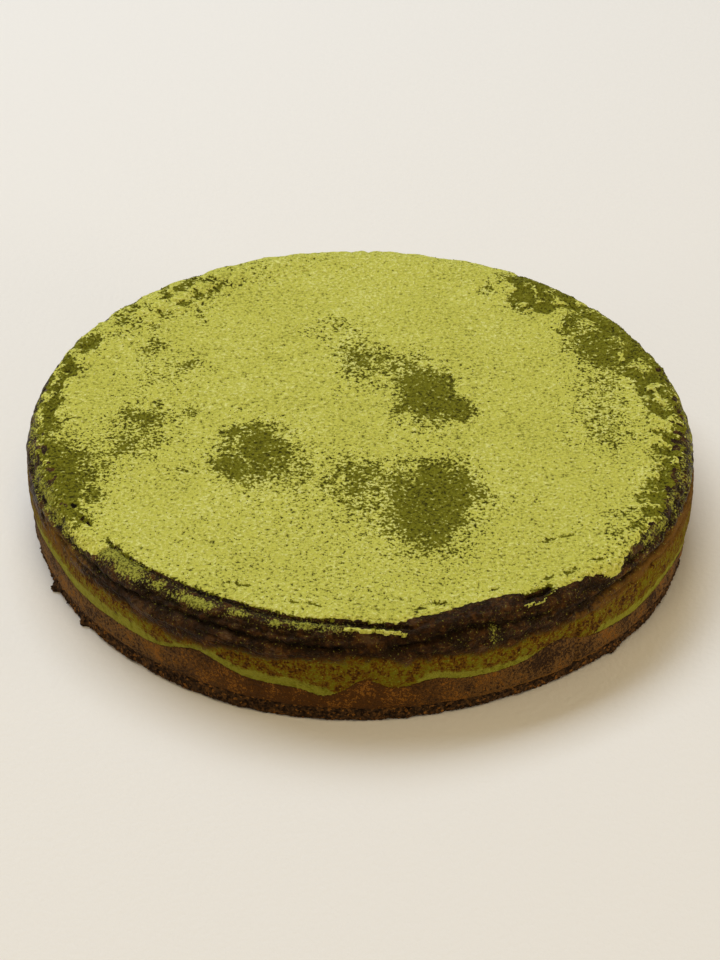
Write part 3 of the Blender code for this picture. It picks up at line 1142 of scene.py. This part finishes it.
@dataclass(frozen=True)
class CrumbFinish(Finish):
    """Dark biscuit crumbs pressed with butter: rough, dull grains of several browns."""

    name: str = "dark_biscuit_crumbs"
    roughness: float = 0.85
    specular: float = 0.15
    grain: float = 0.4
    crumb: float = 0.8
    relief: float = 0.45
    dark: str = "22150C"
    mid: str = "48321C"
    # The two lightest browns are partly caramel-coloured crumbs and partly painted highlight on lit crumb
    # edges, laid on random cells.
    light: str = "5F4021"
    toast: str = "8A5A22"

    def material(self) -> Material:
        """Make the material."""
        material, tree, place = self.start()
        cells = add_node(tree, "ShaderNodeTexVoronoi", {
            "Vector": place, "Scale": per_metre(self.crumb)}, "Color")
        fine = add_node(tree, "ShaderNodeTexNoise", {
            "Vector": place, "Scale": per_metre(self.grain), "Detail": 2.0, "Roughness": ROUGHENING}, "Fac")
        shade = add_node(tree, "ShaderNodeSeparateColor", {"Color": cells}, 0)
        colour = self.toned(tree, ((0.2, self.dark), (0.7, self.mid), (0.9, self.light), (1.0, self.toast)),
                            shade, (fine, 0.3))
        self.close(tree, colour, fine, self.relief)
        return material


@dataclass(frozen=True)
class FloorFinish(Finish):
    """A plain pale painted surface: matt, and faintly uneven."""

    name: str = "pale_painted_floor"
    roughness: float = 0.8
    specular: float = 0.2
    grain: float = 2.4
    relief: float = 0.2
    colour: str = "EBE5DB"

    def material(self) -> Material:
        """Make the material."""
        material, tree, place = self.start()
        fine = add_node(tree, "ShaderNodeTexNoise", {
            "Vector": place, "Scale": per_metre(self.grain), "Detail": 3.0, "Roughness": ROUGHENING}, "Fac")
        self.close(tree, linear(self.colour), fine, self.relief)
        return material


# Pieces

HALF_GAP = 0.5 * FORM.layer_gap


@dataclass(frozen=True)
class Patch:
    """A damp patch of the powder: its middle, its two half widths and how strong it is."""

    x: float
    y: float
    wide: float
    deep: float
    strength: float
    falloff: float = 0.7

    def damp(self, points: Array) -> Array:
        """How damp this patch makes each point."""
        across = (points[..., 0] - self.x) / self.wide
        down = (points[..., 1] - self.y) / self.deep
        return self.strength * np.exp(-self.falloff * (across * across + down * down))


@dataclass(frozen=True)
class PowderCoat:
    """The dry powder on top: where it lies, how thick it is and where it has gone damp.

    The edge and how ragged it is are given by angle round the cake. The stretches of the rim where the
    powder is thin or bare each have their angle, spread in degrees, first run and strength. A ring has a
    point at each point_step until it is the widest that counts, and one too small for the fewest is a pole.
    """

    ring_step: float = 0.82
    point_step: float = 0.8
    thickness: float = 0.34
    sunk: float = 0.8
    outer_run: float = 124.5
    widest: float = 119.0
    fewest: int = 6
    dampest: float = 0.86
    dampest_pit: float = 1.3
    # This cap lets the cracks darken past any damp patch, into a near-black painted shade.
    damp_and_crack_shade_cap: float = 2.2
    map_width: float = 280.0
    underside: tuple = ((123.5, 240), (112.0, 120), (60.0, 30), (0.0, 1))
    underside_depth: float = 3.5
    edge: tuple = (
        (0, 119.0), (10, 119.5), (20, 119.0), (35, 119.5), (60, 120.0), (90, 120.5), (120, 120.0),
        (150, 119.5), (165, 119.0), (180, 118.5), (185, 118.2), (200, 118.4), (211, 119.6),
        (214, 121.2), (219, 121.2), (221.4, 119.0), (222.4, 113.5), (226, 113.3), (230, 113.0),
        (240, 112.8), (250, 112.9), (255, 113.7), (260, 114.5), (270, 114.8), (273, 115.7),
        (276, 115.9), (278, 114.8), (283, 113.7), (287, 112.5), (290, 112.0), (293, 111.3),
        (296, 111.5), (298, 113.0), (299, 114.3), (303, 114.8), (305, 116.6), (310, 117.0),
        (313, 118.4), (315, 120.6), (317, 120.4), (318.6, 119.0), (321, 117.5), (324.6, 116.5),
        (329, 116.2), (332, 117.0), (336, 116.6), (340, 115.4), (345, 116.4), (350, 118.0), (355, 118.5),
    )
    thin: tuple = ((200, 15, 109.0, 0.06), (166, 17, 109.0, 0.25), (340, 14, 110.0, 0.35),
                   (16, 26, 113.0, 0.7))
    bare: tuple = ((197, 15, 113.0, 0.8), (350, 14, 113.0, 1.1), (12, 16, 116.0, 0.9))
    ragged: tuple = ((0, 2.6), (60, 1.6), (120, 1.6), (180, 2.6), (190, 3.6), (212, 3.0), (222, 0.7),
                     (300, 0.8), (325, 1.4), (340, 2.4), (355, 2.4))
    patches: tuple = tuple(itertools.starmap(Patch, (
        (28, 26, 24, 20, 0.1), (20, -40, 34, 26, 0.15), (-34, -22, 22, 22, 0.13),
        (24, 15, 9, 14, 1.0), (36, 9, 7, 7, 0.6),
        (-37, -13, 9, 10, 0.95), (-31, -31, 14, 11, 0.42), (-45, -28, 6, 8, 0.3),
        (28, -48, 10, 12, 1.0), (27, -62, 9, 13, 0.65), (30, -35, 8, 8, 0.45),
        (-12, 65, 9, 6, 0.36), (-5, 50, 8, 9, 0.38), (2, 40, 7, 9, 0.36),
        (15, 42, 8, 6, 0.36), (20, 30, 8, 8, 0.34), (0, 28, 6, 12, 0.24),
        (-82, -9, 11, 12, 0.5), (-80, 3, 8, 4, 0.6), (-62, 4, 4, 5, 0.6),
        (-64, 35, 4, 4, 0.5), (-80, 50, 4, 8, 0.5), (-63, 70, 4, 4, 0.5),
        (-78, -20, 8, 6, 0.34), (-75, 30, 14, 14, 0.28),
        (0, -30, 6, 6, 0.34), (-5, -38, 7, 8, 0.26), (8, -38, 9, 7, 0.24),
        (18, -33, 7, 6, 0.22), (0, -50, 8, 8, 0.22), (12, -55, 9, 9, 0.22),
        (20, -70, 9, 9, 0.24),
        (88, 12, 10, 24, 0.38), (92, -10, 8, 12, 0.28), (95, 35, 6, 10, 0.35),
        (88, 46, 8, 7, 0.7), (82, 65, 6, 9, 0.5), (66, 84, 9, 7, 0.42),
        (60, 98, 7, 5, 0.6), (72, 92, 8, 5, 0.5), (96, 60, 7, 10, 0.5),
        (-102, -33, 12, 14, 0.75), (-113, -14, 6, 14, 0.5), (-103, -54, 9, 10, 0.45),
        (-10, -84, 70, 30, 0.14),
        (-60, -32, 7, 1.5, 0.45), (90, -58, 10, 12, 0.2),
    )))

    def damp(self, at: Laid) -> Array:
        """How damp the powder is at points of the skin, dampest in the pits, furrows and cracks, where the
        darkening is partly damp and partly painted shade in the hollows.
        """
        wander = np.stack([cloud(at.points, 9.0, 31, 2), cloud(at.points, 9.0, 32, 2)], axis=-1)
        moved = at.points[..., :2] + 5.0 * wander
        damp = sum(patch.damp(moved) for patch in self.patches)
        pit = RELIEF.crater_share(at.angle, at.run) * ramp(-RELIEF.pits(at.points), -0.3, 0.9)
        furrow, crack = (sum(np.maximum(c.press(at.angle, at.run, at.height), 0.0) for c in creases)
                         for creases in (RELIEF.furrows, RELIEF.cracks))
        damp = damp * (1.0 + 0.4 * cloud(at.points, 5.0, 33, 2)) + self.share(self.thin, at)
        broken = ramp(cloud(at.points, 3.5, 34, 1), -0.35, 0.25)
        damp = np.minimum(damp, self.dampest) + 0.9 * pit + 0.7 * furrow * broken
        return np.clip(np.minimum(damp, self.dampest_pit) + 1.6 * crack, 0.0, self.damp_and_crack_shade_cap)

    def share(self, stretches: tuple, at: Laid) -> Array:
        """How strongly points of the skin belong to some stretches of the rim, from 0 to 1."""
        share = np.zeros(at.angle.shape)
        for angle, spread, start, strength in stretches:
            there = strength * bump(turn_between(at.angle, angle), spread)
            share = np.maximum(share, there * ramp(at.run, start - 3.0, start + 3.0))
        return share

    def cover(self, at: Laid) -> Array:
        """How far inside the powder's edge each point lies, in millimetres."""
        frayed = along(at.angle, self.ragged)
        wander = 0.9 * cloud(at.points, 3.4, 41, 2) + 0.45 * cloud(at.points, 1.2, 42, 1)
        inside = along(at.angle, self.edge) - at.run + frayed * wander
        for lip in RELIEF.lips:
            inside = np.maximum(inside, -5.0 * lip.press(at.angle, at.run, at.height) - 1.0)
        crack = sum(c.press(at.angle, at.run, at.height) for c in RELIEF.cracks)
        holes = self.share(self.bare, at) * np.clip(cloud(at.points, 3.4, 43, 2) + 0.08, 0.0, 1.0)
        return np.minimum(inside, 1.3 - 1.5 * np.clip(crack, 0.0, 2.0) - 6.0 * holes)

    def lay(self, angle: Array, run: Array) -> tuple[Laid, Array, Array]:
        """Lay the powder on the skin.

        Args:
            angle: degrees round the cake.
            run: the way along the skin.

        Returns:
            The powder's surface, how damp it is, and how far inside its edge each point is.
        """
        ground = SKIN.lay(angle, run)
        inside = self.cover(ground)
        grain = 0.1 * cloud(ground.points, 1.3, 51, 2) + 0.08 * cloud(ground.points, 3.8, 52, 1)
        high = (self.thickness + grain) * ramp(inside, -0.3, 0.7) - self.sunk * ramp(-inside, -0.1, 0.9)
        points = ground.points + ground.normal * high[..., None]
        laid = Laid(points, ground.normal, angle, run, ground.height)
        return laid, self.damp(laid), inside

    def build(self, material: Material) -> Object:
        """Build the powder as one closed coat.

        Args:
            material: the powder's finish.

        Returns:
            The finished piece.
        """
        coat = RingMesh()
        for run in np.arange(0.0, self.outer_run, self.ring_step):
            count = round(math.tau * min(run, self.widest) / self.point_step)
            angle, runs = turn_grid(np.array([run]), count if count >= self.fewest else 1)
            laid, damp, inside = self.lay(angle, runs)
            cover = ramp(inside, 0.0, 1.0)
            coat.add(laid.points, round_map(angle, runs / self.map_width), damp=damp,
                     dry=cover * (1.0 - 0.6 * np.minimum(damp, 1.0)),
                     wet=cover * np.clip(1.3 * damp - 0.05, 0.0, 1.2))
        for run, count in self.underside:
            under = SKIN.lay(*turn_grid(np.array([run]), count), -self.underside_depth, relief=False)
            coat.add(under.points, corner_map(under.points), corner_map(coat.last[0]))
        piece = coat.finish("powder_coat", material)
        ride_as(piece, "matcha_layer")
        return piece


@dataclass(frozen=True)
class MatchaBody:
    """The green layer: its folded skin and mottled side, standing for its solid.

    The band is the height of the plain green over the layer line, by angle. Each dusty place has its angle,
    its spread in degrees, its run, its reach along the run and its strength. Each warmer place has its
    angle, spread and strength.
    """

    around: int = 860
    skin_from: float = 95.0
    ring_step: float = 0.5
    band: tuple = (
        (0, 3.5), (30, 4.5), (60, 3.0), (90, 5.0), (120, 4.0), (160, 4.5), (205, 5.5), (232, 5.5),
        (237, 2.6), (242, 2.2), (246, 4.0), (265, 4.4), (267, -2.0), (278, -2.0), (280, 3.4),
        (297, 3.2), (300, -0.5), (310, -1.0), (312, 3.4), (325, 3.6), (345, 3.0),
    )
    dusty: tuple = (
        (226, 6, 116.4, 3.6, 1.0), (234, 8, 116.6, 2.6, 0.62), (250, 10, 116.6, 2.0, 0.42),
        (243, 3.0, 117.2, 1.7, 1.2), (257, 1.2, 117.4, 1.2, 0.9), (262, 9, 117.0, 2.2, 0.42),
        (330, 12, 118.5, 2.6, 0.55), (205, 14, 120.0, 4.0, 0.85), (180, 14, 120.0, 3.0, 0.7),
        (10, 40, 121.0, 2.4, 0.65), (90, 50, 122.0, 2.2, 0.6), (291.5, 0.9, 125.0, 3.6, 0.55),
        (345, 14, 118.0, 3.0, 0.4),
    )
    cap: tuple = ((0.0, 1), (40.0, 60), (70.0, 240), (93.0, 480))
    cap_depth: float = 1.2
    underside: tuple = ((0.93, 480), (0.82, 240), (0.62, 120), (0.35, 60), (0.0, 1))
    warmer: tuple = ((334.0, 28.0, 1.1), (211.0, 14.0, 0.8))
    warmer_below: tuple = (31.0, 34.5)
    wrinkles_over: tuple = (25.5, 28.5)

    def dust(self, at: Laid) -> Array:
        """How much thin powder lies on the bare skin."""
        total = np.zeros(at.angle.shape)
        for angle, spread, run, reach, strength in self.dusty:
            near = bump(turn_between(at.angle, angle), spread) * bump(at.run - run, reach)
            total = np.maximum(total, strength * near)
        return total + 0.6 * cloud(at.points, 4.5, 61, 2) * ramp(total, 0.1, 0.5)

    def skin(self, runs: Array) -> tuple[Laid, Array, dict[str, Array]]:
        """Lay rings of the skin.

        Args:
            runs: the run of each ring.

        Returns:
            The points, their map and the numbers that the finish reads.
        """
        angle, run = turn_grid(runs, self.around)
        at = SKIN.lay(angle, run)
        line = FORM.layer_line + FORM.layer_rise(angle, np.full(angle.shape, FORM.radius))
        rind = FORM.rind_line + swell(angle, FORM.rind_swells)
        # Of these numbers, the depth in folds and the dome drive the finish's painted shade in the creases
        # and painted highlight on the fold tops.
        return at, round_map(angle, run / MAP_WIDTH), {
            "over_line": at.height - line, "over_rind": at.height - rind,
            "band": along(angle, self.band), "dust": self.dust(at), "fold": self.fold(at),
            "dome": RELIEF.dome(at.points), "warm": self.warmth(at),
        }

    def warmth(self, at: Laid) -> Array:
        """How much warmer the rind is, as it is low down on the right and on the left."""
        low = 1.0 - 0.9 * ramp(at.height, *self.warmer_below)
        return low * sum(size * bump(turn_between(at.angle, middle), spread)
                         for middle, spread, size in self.warmer)

    def fold(self, at: Laid) -> Array:
        """How deep in a crease or crack each point lies, from 0 to 1, which the finish paints as shade."""
        pressed = np.zeros(at.angle.shape)
        for crease in (*RELIEF.folds, *RELIEF.back_folds(), *RELIEF.cracks):
            pressed += np.maximum(crease.press(at.angle, at.run, at.height), 0.0)
        pressed += 0.9 * (1.0 - RELIEF.dome(at.points)) ** 2 * ramp(at.height, *self.wrinkles_over)
        return np.clip(0.75 * pressed - 0.15, 0.0, 0.9)

    def build(self, material: Material) -> Object:
        """Build the layer as one closed piece.

        Args:
            material: its finish.

        Returns:
            The finished piece.
        """
        body = RingMesh()
        for run, count in self.cap:
            angle, runs = turn_grid(np.array([run]), count)
            cap = SKIN.lay(angle, runs, -self.cap_depth, relief=False)
            body.add(cap.points, round_map(angle, runs / MAP_WIDTH))
        last = SKIN.last_run()
        rings = np.linspace(self.skin_from, last, round((last - self.skin_from) / self.ring_step))
        at, flat, values = self.skin(rings)
        body.add(at.points, flat, **values)
        body.add_disc(FORM.layer_line, self.underside, HALF_GAP)
        piece = body.finish("matcha_body", material)
        ride_as(piece, "matcha_layer", "matcha_layer")
        return piece


@dataclass(frozen=True)
class BrownBody:
    """The brown layer between the base and the green.

    The seam with the base shows as a lighter line, except where it is plain: away from the angle, by the
    spread, that plain_seam gives. The brown is toasted round one angle too.
    """

    around: int = 960
    rows: int = 22
    profile: tuple = ((5.9, 120.9), (7.0, 121.4), (8.4, 121.7), (14.6, 121.7))
    plain_seam: tuple = (300.0, 36.0, 3.0)
    toasted: tuple = (264.0, 28.0, 0.85)
    hidden: tuple = ((0.93, 480), (0.7, 240), (0.35, 60), (0.0, 1))

    def build(self, material: Material) -> Object:
        """Build the layer as one closed piece.

        Args:
            material: its finish.

        Returns:
            The finished piece.
        """
        body = RingMesh()
        body.add_disc(FORM.layer_line, tuple(reversed(self.hidden)), -HALF_GAP)
        share = np.linspace(0.0, 1.0, self.rows)
        nominal = FORM.layer_line + share * (FORM.base_height - FORM.layer_line)
        angle, plain, out, flat = side_wall(nominal, self.profile, self.around)
        base = FORM.base_height + sway(angle, FORM.base_sway)
        joins = ramp(share, 0.0, 0.06)[:, None]
        rough = 0.32 * cloud(plain, 2.6, 71, 2) + 0.3 * cloud(plain, 8.0, 72, 1)
        points = plain + out * (joins * rough - RELIEF.slit(angle, plain[..., 2]))[..., None]
        seam_at, seam_spread, seam_hidden = self.plain_seam
        toast_at, toast_spread, toast = self.toasted
        hides = seam_hidden * (1.0 - bump(turn_between(angle, seam_at), seam_spread))
        body.add(points, flat, flat[0], over_base=plain[..., 2] - base + hides,
                 toasted=toast * bump(turn_between(angle, toast_at), toast_spread))
        body.add_disc(FORM.base_height, self.hidden, HALF_GAP)
        piece = body.finish("brown_body", material)
        ride_as(piece, "brown_layer", "brown_layer")
        return piece


@dataclass(frozen=True)
class CrumbBase:
    """The pressed crumb base, with the crumbs that stand out at its foot.

    Each foot crumb has its angle, how far it stands out and its spread in degrees. Loose crumbs are strewn
    between the heights of crumbs_over and crumbs_end.
    """

    around: int = 1400
    rows: int = 18
    profile: tuple = ((0.0, 119.9), (0.6, 120.5), (1.4, 120.7), (5.0, 120.6), (5.6, 120.2))
    crumb: float = 1.5
    foot_crumbs: tuple = ((206.3, 2.3, 0.6), (217, 2.0, 0.7), (316, 1.2, 0.8), (97, 1.6, 0.7))
    foot_over: tuple = (1.5, 4.0)
    crumbs_over: tuple = (0.8, 1.6)
    crumbs_end: tuple = (4.6, 5.4)
    hidden: tuple = ((0.9, 480), (0.6, 120), (0.0, 1))

    def build(self, material: Material) -> Object:
        """Build the base as one closed piece.

        Args:
            material: its finish.

        Returns:
            The finished piece.
        """
        body = RingMesh()
        body.add_disc(FORM.base_height, tuple(reversed(self.hidden)), -HALF_GAP)
        nominal = FORM.base_height * (1.0 - np.linspace(0.0, 1.0, self.rows))
        angle, plain, out, flat = side_wall(nominal, self.profile, self.around)
        near, own = pebbles(plain, self.crumb, 81)
        fine, _ = pebbles(plain, 0.5 * self.crumb, 82)
        rough = 0.75 * (0.55 - near) + 0.35 * (own - 0.5) + 0.3 * (0.5 - fine)
        rough = rough + 0.45 * cloud(plain, 6.5, 83, 1)
        for at, reach, spread in self.foot_crumbs:
            low = 1.0 - ramp(plain[..., 2], *self.foot_over)
            rough += reach * bump(turn_between(angle, at), spread) * low
        points = plain + out * rough[..., None]
        points[..., 2] = np.maximum(points[..., 2], 0.0)
        height = points[..., 2]
        outside = ramp(height, *self.crumbs_over) * (1.0 - ramp(height, *self.crumbs_end))
        body.add(points, flat, flat[0], outside=outside)
        body.add_disc(0.0, self.hidden)
        piece = body.finish("base_body", material)
        ride_as(piece, "crumb_base", "crumb_base")
        return piece


class Lump(Enum):
    """What a strewn grain is made from, with few faces, because there are thousands of them."""

    EIGHT_FACES = ("GeometryNodeMeshUVSphere", {"Segments": 4, "Rings": 2, "Radius": 0.5})
    TWENTY_FACES = ("GeometryNodeMeshIcoSphere", {"Subdivisions": 1, "Radius": 0.5})


@dataclass(frozen=True)
class Scatter:
    """Small grains strewn over a piece by Geometry Nodes, and made one mesh.

    The amount is how many lie on a square metre where the weight that the piece carries is 1.
    """

    name: str
    slot: str
    grain: float
    amount: float
    lump: Lump
    seed: int
    weight: str

    def tree(self, material: Material) -> NodeTree:
        """Build the tree that strews the grains.

        Args:
            material: the grains' finish.

        Returns:
            The tree, with inputs for the ground, the grain's size, the number in a square metre and the seed.
        """
        tree = bpy.data.node_groups.new(self.name, "GeometryNodeTree")
        for title, kind in (("Ground", "NodeSocketGeometry"), ("Grain size", "NodeSocketFloat"),
                            ("Per square metre", "NodeSocketFloat"), ("Seed", "NodeSocketInt")):
            tree.interface.new_socket(name=title, in_out="INPUT", socket_type=kind)
        tree.interface.new_socket(name="Grains", in_out="OUTPUT", socket_type="NodeSocketGeometry")
        source = tree.nodes.new("NodeGroupInput")
        ground, size, amount, seed = (source.outputs[k] for k in range(4))
        share = add_node(tree, "GeometryNodeInputNamedAttribute", {"Name": self.weight},
                         "Attribute", data_type="FLOAT")
        amount = add_node(tree, "ShaderNodeMath", {0: amount, 1: share}, operation="MULTIPLY")
        strewn = add_node(tree, "GeometryNodeDistributePointsOnFaces",
                          {"Mesh": ground, "Density": amount, "Seed": seed}, "Points")
        lump = add_node(tree, *self.lump.value)
        spin = add_node(tree, "FunctionNodeRandomValue", {
            0: (0.0, 0.0, 0.0), 1: (math.tau, math.tau, math.tau), "Seed": 1}, data_type="FLOAT_VECTOR")
        shape = add_node(tree, "FunctionNodeRandomValue", {
            0: (0.5, 0.5, 0.4), 1: (1.25, 1.25, 1.0), "Seed": 2}, data_type="FLOAT_VECTOR")
        scaled = add_node(tree, "ShaderNodeVectorMath", {0: shape, "Scale": size}, operation="SCALE")
        grains = add_node(tree, "GeometryNodeInstanceOnPoints", {
            "Points": strewn, "Instance": lump, "Rotation": spin, "Scale": scaled})
        real = add_node(tree, "GeometryNodeRealizeInstances", {"Geometry": grains})
        lumpy = add_node(tree, "ShaderNodeTexNoise", {"Scale": per_metre(self.grain), "Detail": 0.0}, "Color")
        push = add_node(tree, "ShaderNodeVectorMath", {0: lumpy, 1: (-0.5, -0.5, -0.5)}, operation="ADD")
        push = add_node(tree, "ShaderNodeVectorMath", {0: push, "Scale": size}, operation="SCALE")
        uneven = add_node(tree, "GeometryNodeSetPosition", {"Geometry": real, "Offset": push})
        done = add_node(tree, "GeometryNodeSetMaterial", {"Geometry": uneven, "Material": material})
        add_node(tree, "NodeGroupOutput", {0: done})
        return tree

    def build(self, ground: Object, material: Material) -> Object:
        """Strew the grains over a piece.

        Args:
            ground: the piece that they lie on.
            material: their finish.

        Returns:
            The finished piece.
        """
        carrier = bpy.data.objects.new(self.name + "_carrier", ground.data)
        bpy.context.scene.collection.objects.link(carrier)
        tree = self.tree(material)
        strew = carrier.modifiers.new("strew", "NODES")
        strew.node_group = tree
        wanted = {"Grain size": self.grain * MM, "Per square metre": self.amount, "Seed": self.seed}
        for socket in tree.interface.items_tree:
            if socket.in_out == "INPUT" and socket.name in wanted:
                strew[socket.identifier] = wanted[socket.name]
        evaluated = carrier.evaluated_get(bpy.context.evaluated_depsgraph_get())
        mesh = bpy.data.meshes.new_from_object(evaluated)
        bpy.data.objects.remove(carrier)
        mesh.name = self.name
        mesh.shade_smooth()
        piece = bpy.data.objects.new(self.name, mesh)
        bpy.context.scene.collection.objects.link(piece)
        ride_as(piece, self.slot)
        return piece


@dataclass(frozen=True)
class Studio:
    """The plain pale floor, the soft light and the camera at the photograph's angle, in metres."""

    camera_at: tuple = (-0.000198, -0.721025, 0.539671)
    looks_down: float = 36.262
    rolls: float = 0.533
    lens: float = 90.28
    long_side: float = 36.0
    floor_half: float = 4.0
    key_at: tuple = (-0.67, 1.1, 2.05)
    key_size: tuple = (2.4, 1.0)
    key_power: float = 52.0
    key_colour: tuple = (0.71, 0.82, 1.0)
    fill_at: tuple = (1.9, -0.6, 0.2)
    side_at: tuple = (-1.9, -0.4, 0.2)
    fill_size: tuple = (0.8, 0.4)
    fill_power: float = 14.0
    side_power: float = 8.0
    top_at: tuple = (0.0, -0.75, 2.2)
    top_size: tuple = (1.6, 1.0)
    top_power: float = 16.0
    top_colour: tuple = (1.0, 0.84, 0.55)
    fill_colour: tuple = (1.0, 0.9, 0.74)
    sky_colour: tuple = (1.0, 0.87, 0.64)
    sky_strength: float = 0.22

    def floor(self, material: Material) -> Object:
        """Lay the floor."""
        half = self.floor_half / MM
        points = np.array([(-half, -half, 0), (half, -half, 0), (half, half, 0), (-half, half, 0)])
        made = make_object("floor", points, np.array([(0, 1, 2), (0, 2, 3)]), material)
        return made

    def light(self) -> None:
        """Hang the soft key light, a broad one overhead and two low fills, and set the pale surroundings."""
        for name, at, size, power, colour in (
            ("key", self.key_at, self.key_size, self.key_power, self.key_colour),
            ("fill", self.fill_at, self.fill_size, self.fill_power, self.fill_colour),
            ("side", self.side_at, self.fill_size, self.side_power, self.fill_colour),
            ("top", self.top_at, self.top_size, self.top_power, self.top_colour),
        ):
            light = bpy.data.lights.new(name, "AREA")
            light.shape, light.size, light.size_y = "RECTANGLE", *size
            light.energy, light.color = power, colour
            lamp = bpy.data.objects.new(name, light)
            lamp.location = at
            lamp.rotation_euler = (-Vector(at)).to_track_quat("-Z", "Y").to_euler()
            bpy.context.scene.collection.objects.link(lamp)
        world = bpy.data.worlds.new("studio")
        world.use_nodes = True
        sky = world.node_tree.nodes["Background"].inputs
        sky["Color"].default_value = (*self.sky_colour, 1.0)
        sky["Strength"].default_value = self.sky_strength
        bpy.context.scene.world = world

    def camera(self) -> None:
        """Set up the camera where the photograph was taken."""
        lens = bpy.data.cameras.new("camera")
        lens.sensor_fit, lens.sensor_width, lens.lens = "AUTO", self.long_side, self.lens
        lens.clip_start, lens.clip_end = 0.01, 20.0
        camera = bpy.data.objects.new("camera", lens)
        down, roll = math.radians(self.looks_down), math.radians(self.rolls)
        ahead = Vector((0.0, math.cos(down), -math.sin(down)))
        right = Vector((1.0, 0.0, 0.0))
        up = right.cross(ahead)
        across = right * math.cos(roll) + up * math.sin(roll)
        above = up * math.cos(roll) - right * math.sin(roll)
        aim = Matrix((across, above, -ahead)).transposed().to_4x4()
        camera.matrix_world = Matrix.Translation(self.camera_at) @ aim
        bpy.context.scene.collection.objects.link(camera)
        bpy.context.scene.camera = camera

    def build(self, floor_finish: Material) -> None:
        """Set up floor, light and camera."""
        self.floor(floor_finish)
        self.light()
        self.camera()
        bpy.context.scene.view_settings.view_transform = "Standard"


def main() -> None:
    """Build the cake, piece by piece, and its studio."""
    logging.basicConfig(level=logging.INFO, format="%(message)s")
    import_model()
    powder = PowderFinish().material()
    crumbs = CrumbFinish().material()
    MatchaBody().build(BakedMatchaFinish().material())
    coat = PowderCoat().build(powder)
    BrownBody().build(BrownFinish().material())
    base = CrumbBase().build(crumbs)
    # The light specks are paler than the powder partly as dry clumps and partly as painted highlight of
    # grains that catch the light.
    light = PowderFinish("dry_matcha_specks", dry_shadow="C8C55C", dry="E6E380", dry_light="F6F4B4")
    dark = PowderFinish("damp_matcha_specks", dry_shadow="4A4810", dry="5C5A16", dry_light="74722A")
    Scatter("powder_grains", "matcha_layer", grain=0.5, amount=520000.0, lump=Lump.EIGHT_FACES, seed=3,
            weight="dry").build(coat, light.material())
    Scatter("damp_grains", "matcha_layer", grain=0.6, amount=1000000.0, lump=Lump.EIGHT_FACES, seed=6,
            weight="wet").build(coat, dark.material())
    Scatter("base_crumbs", "crumb_base", grain=0.9, amount=260000.0, lump=Lump.TWENTY_FACES, seed=4,
            weight="outside").build(base, crumbs)
    Studio().build(FloorFinish().material())


if __name__ == "__main__":
    main()
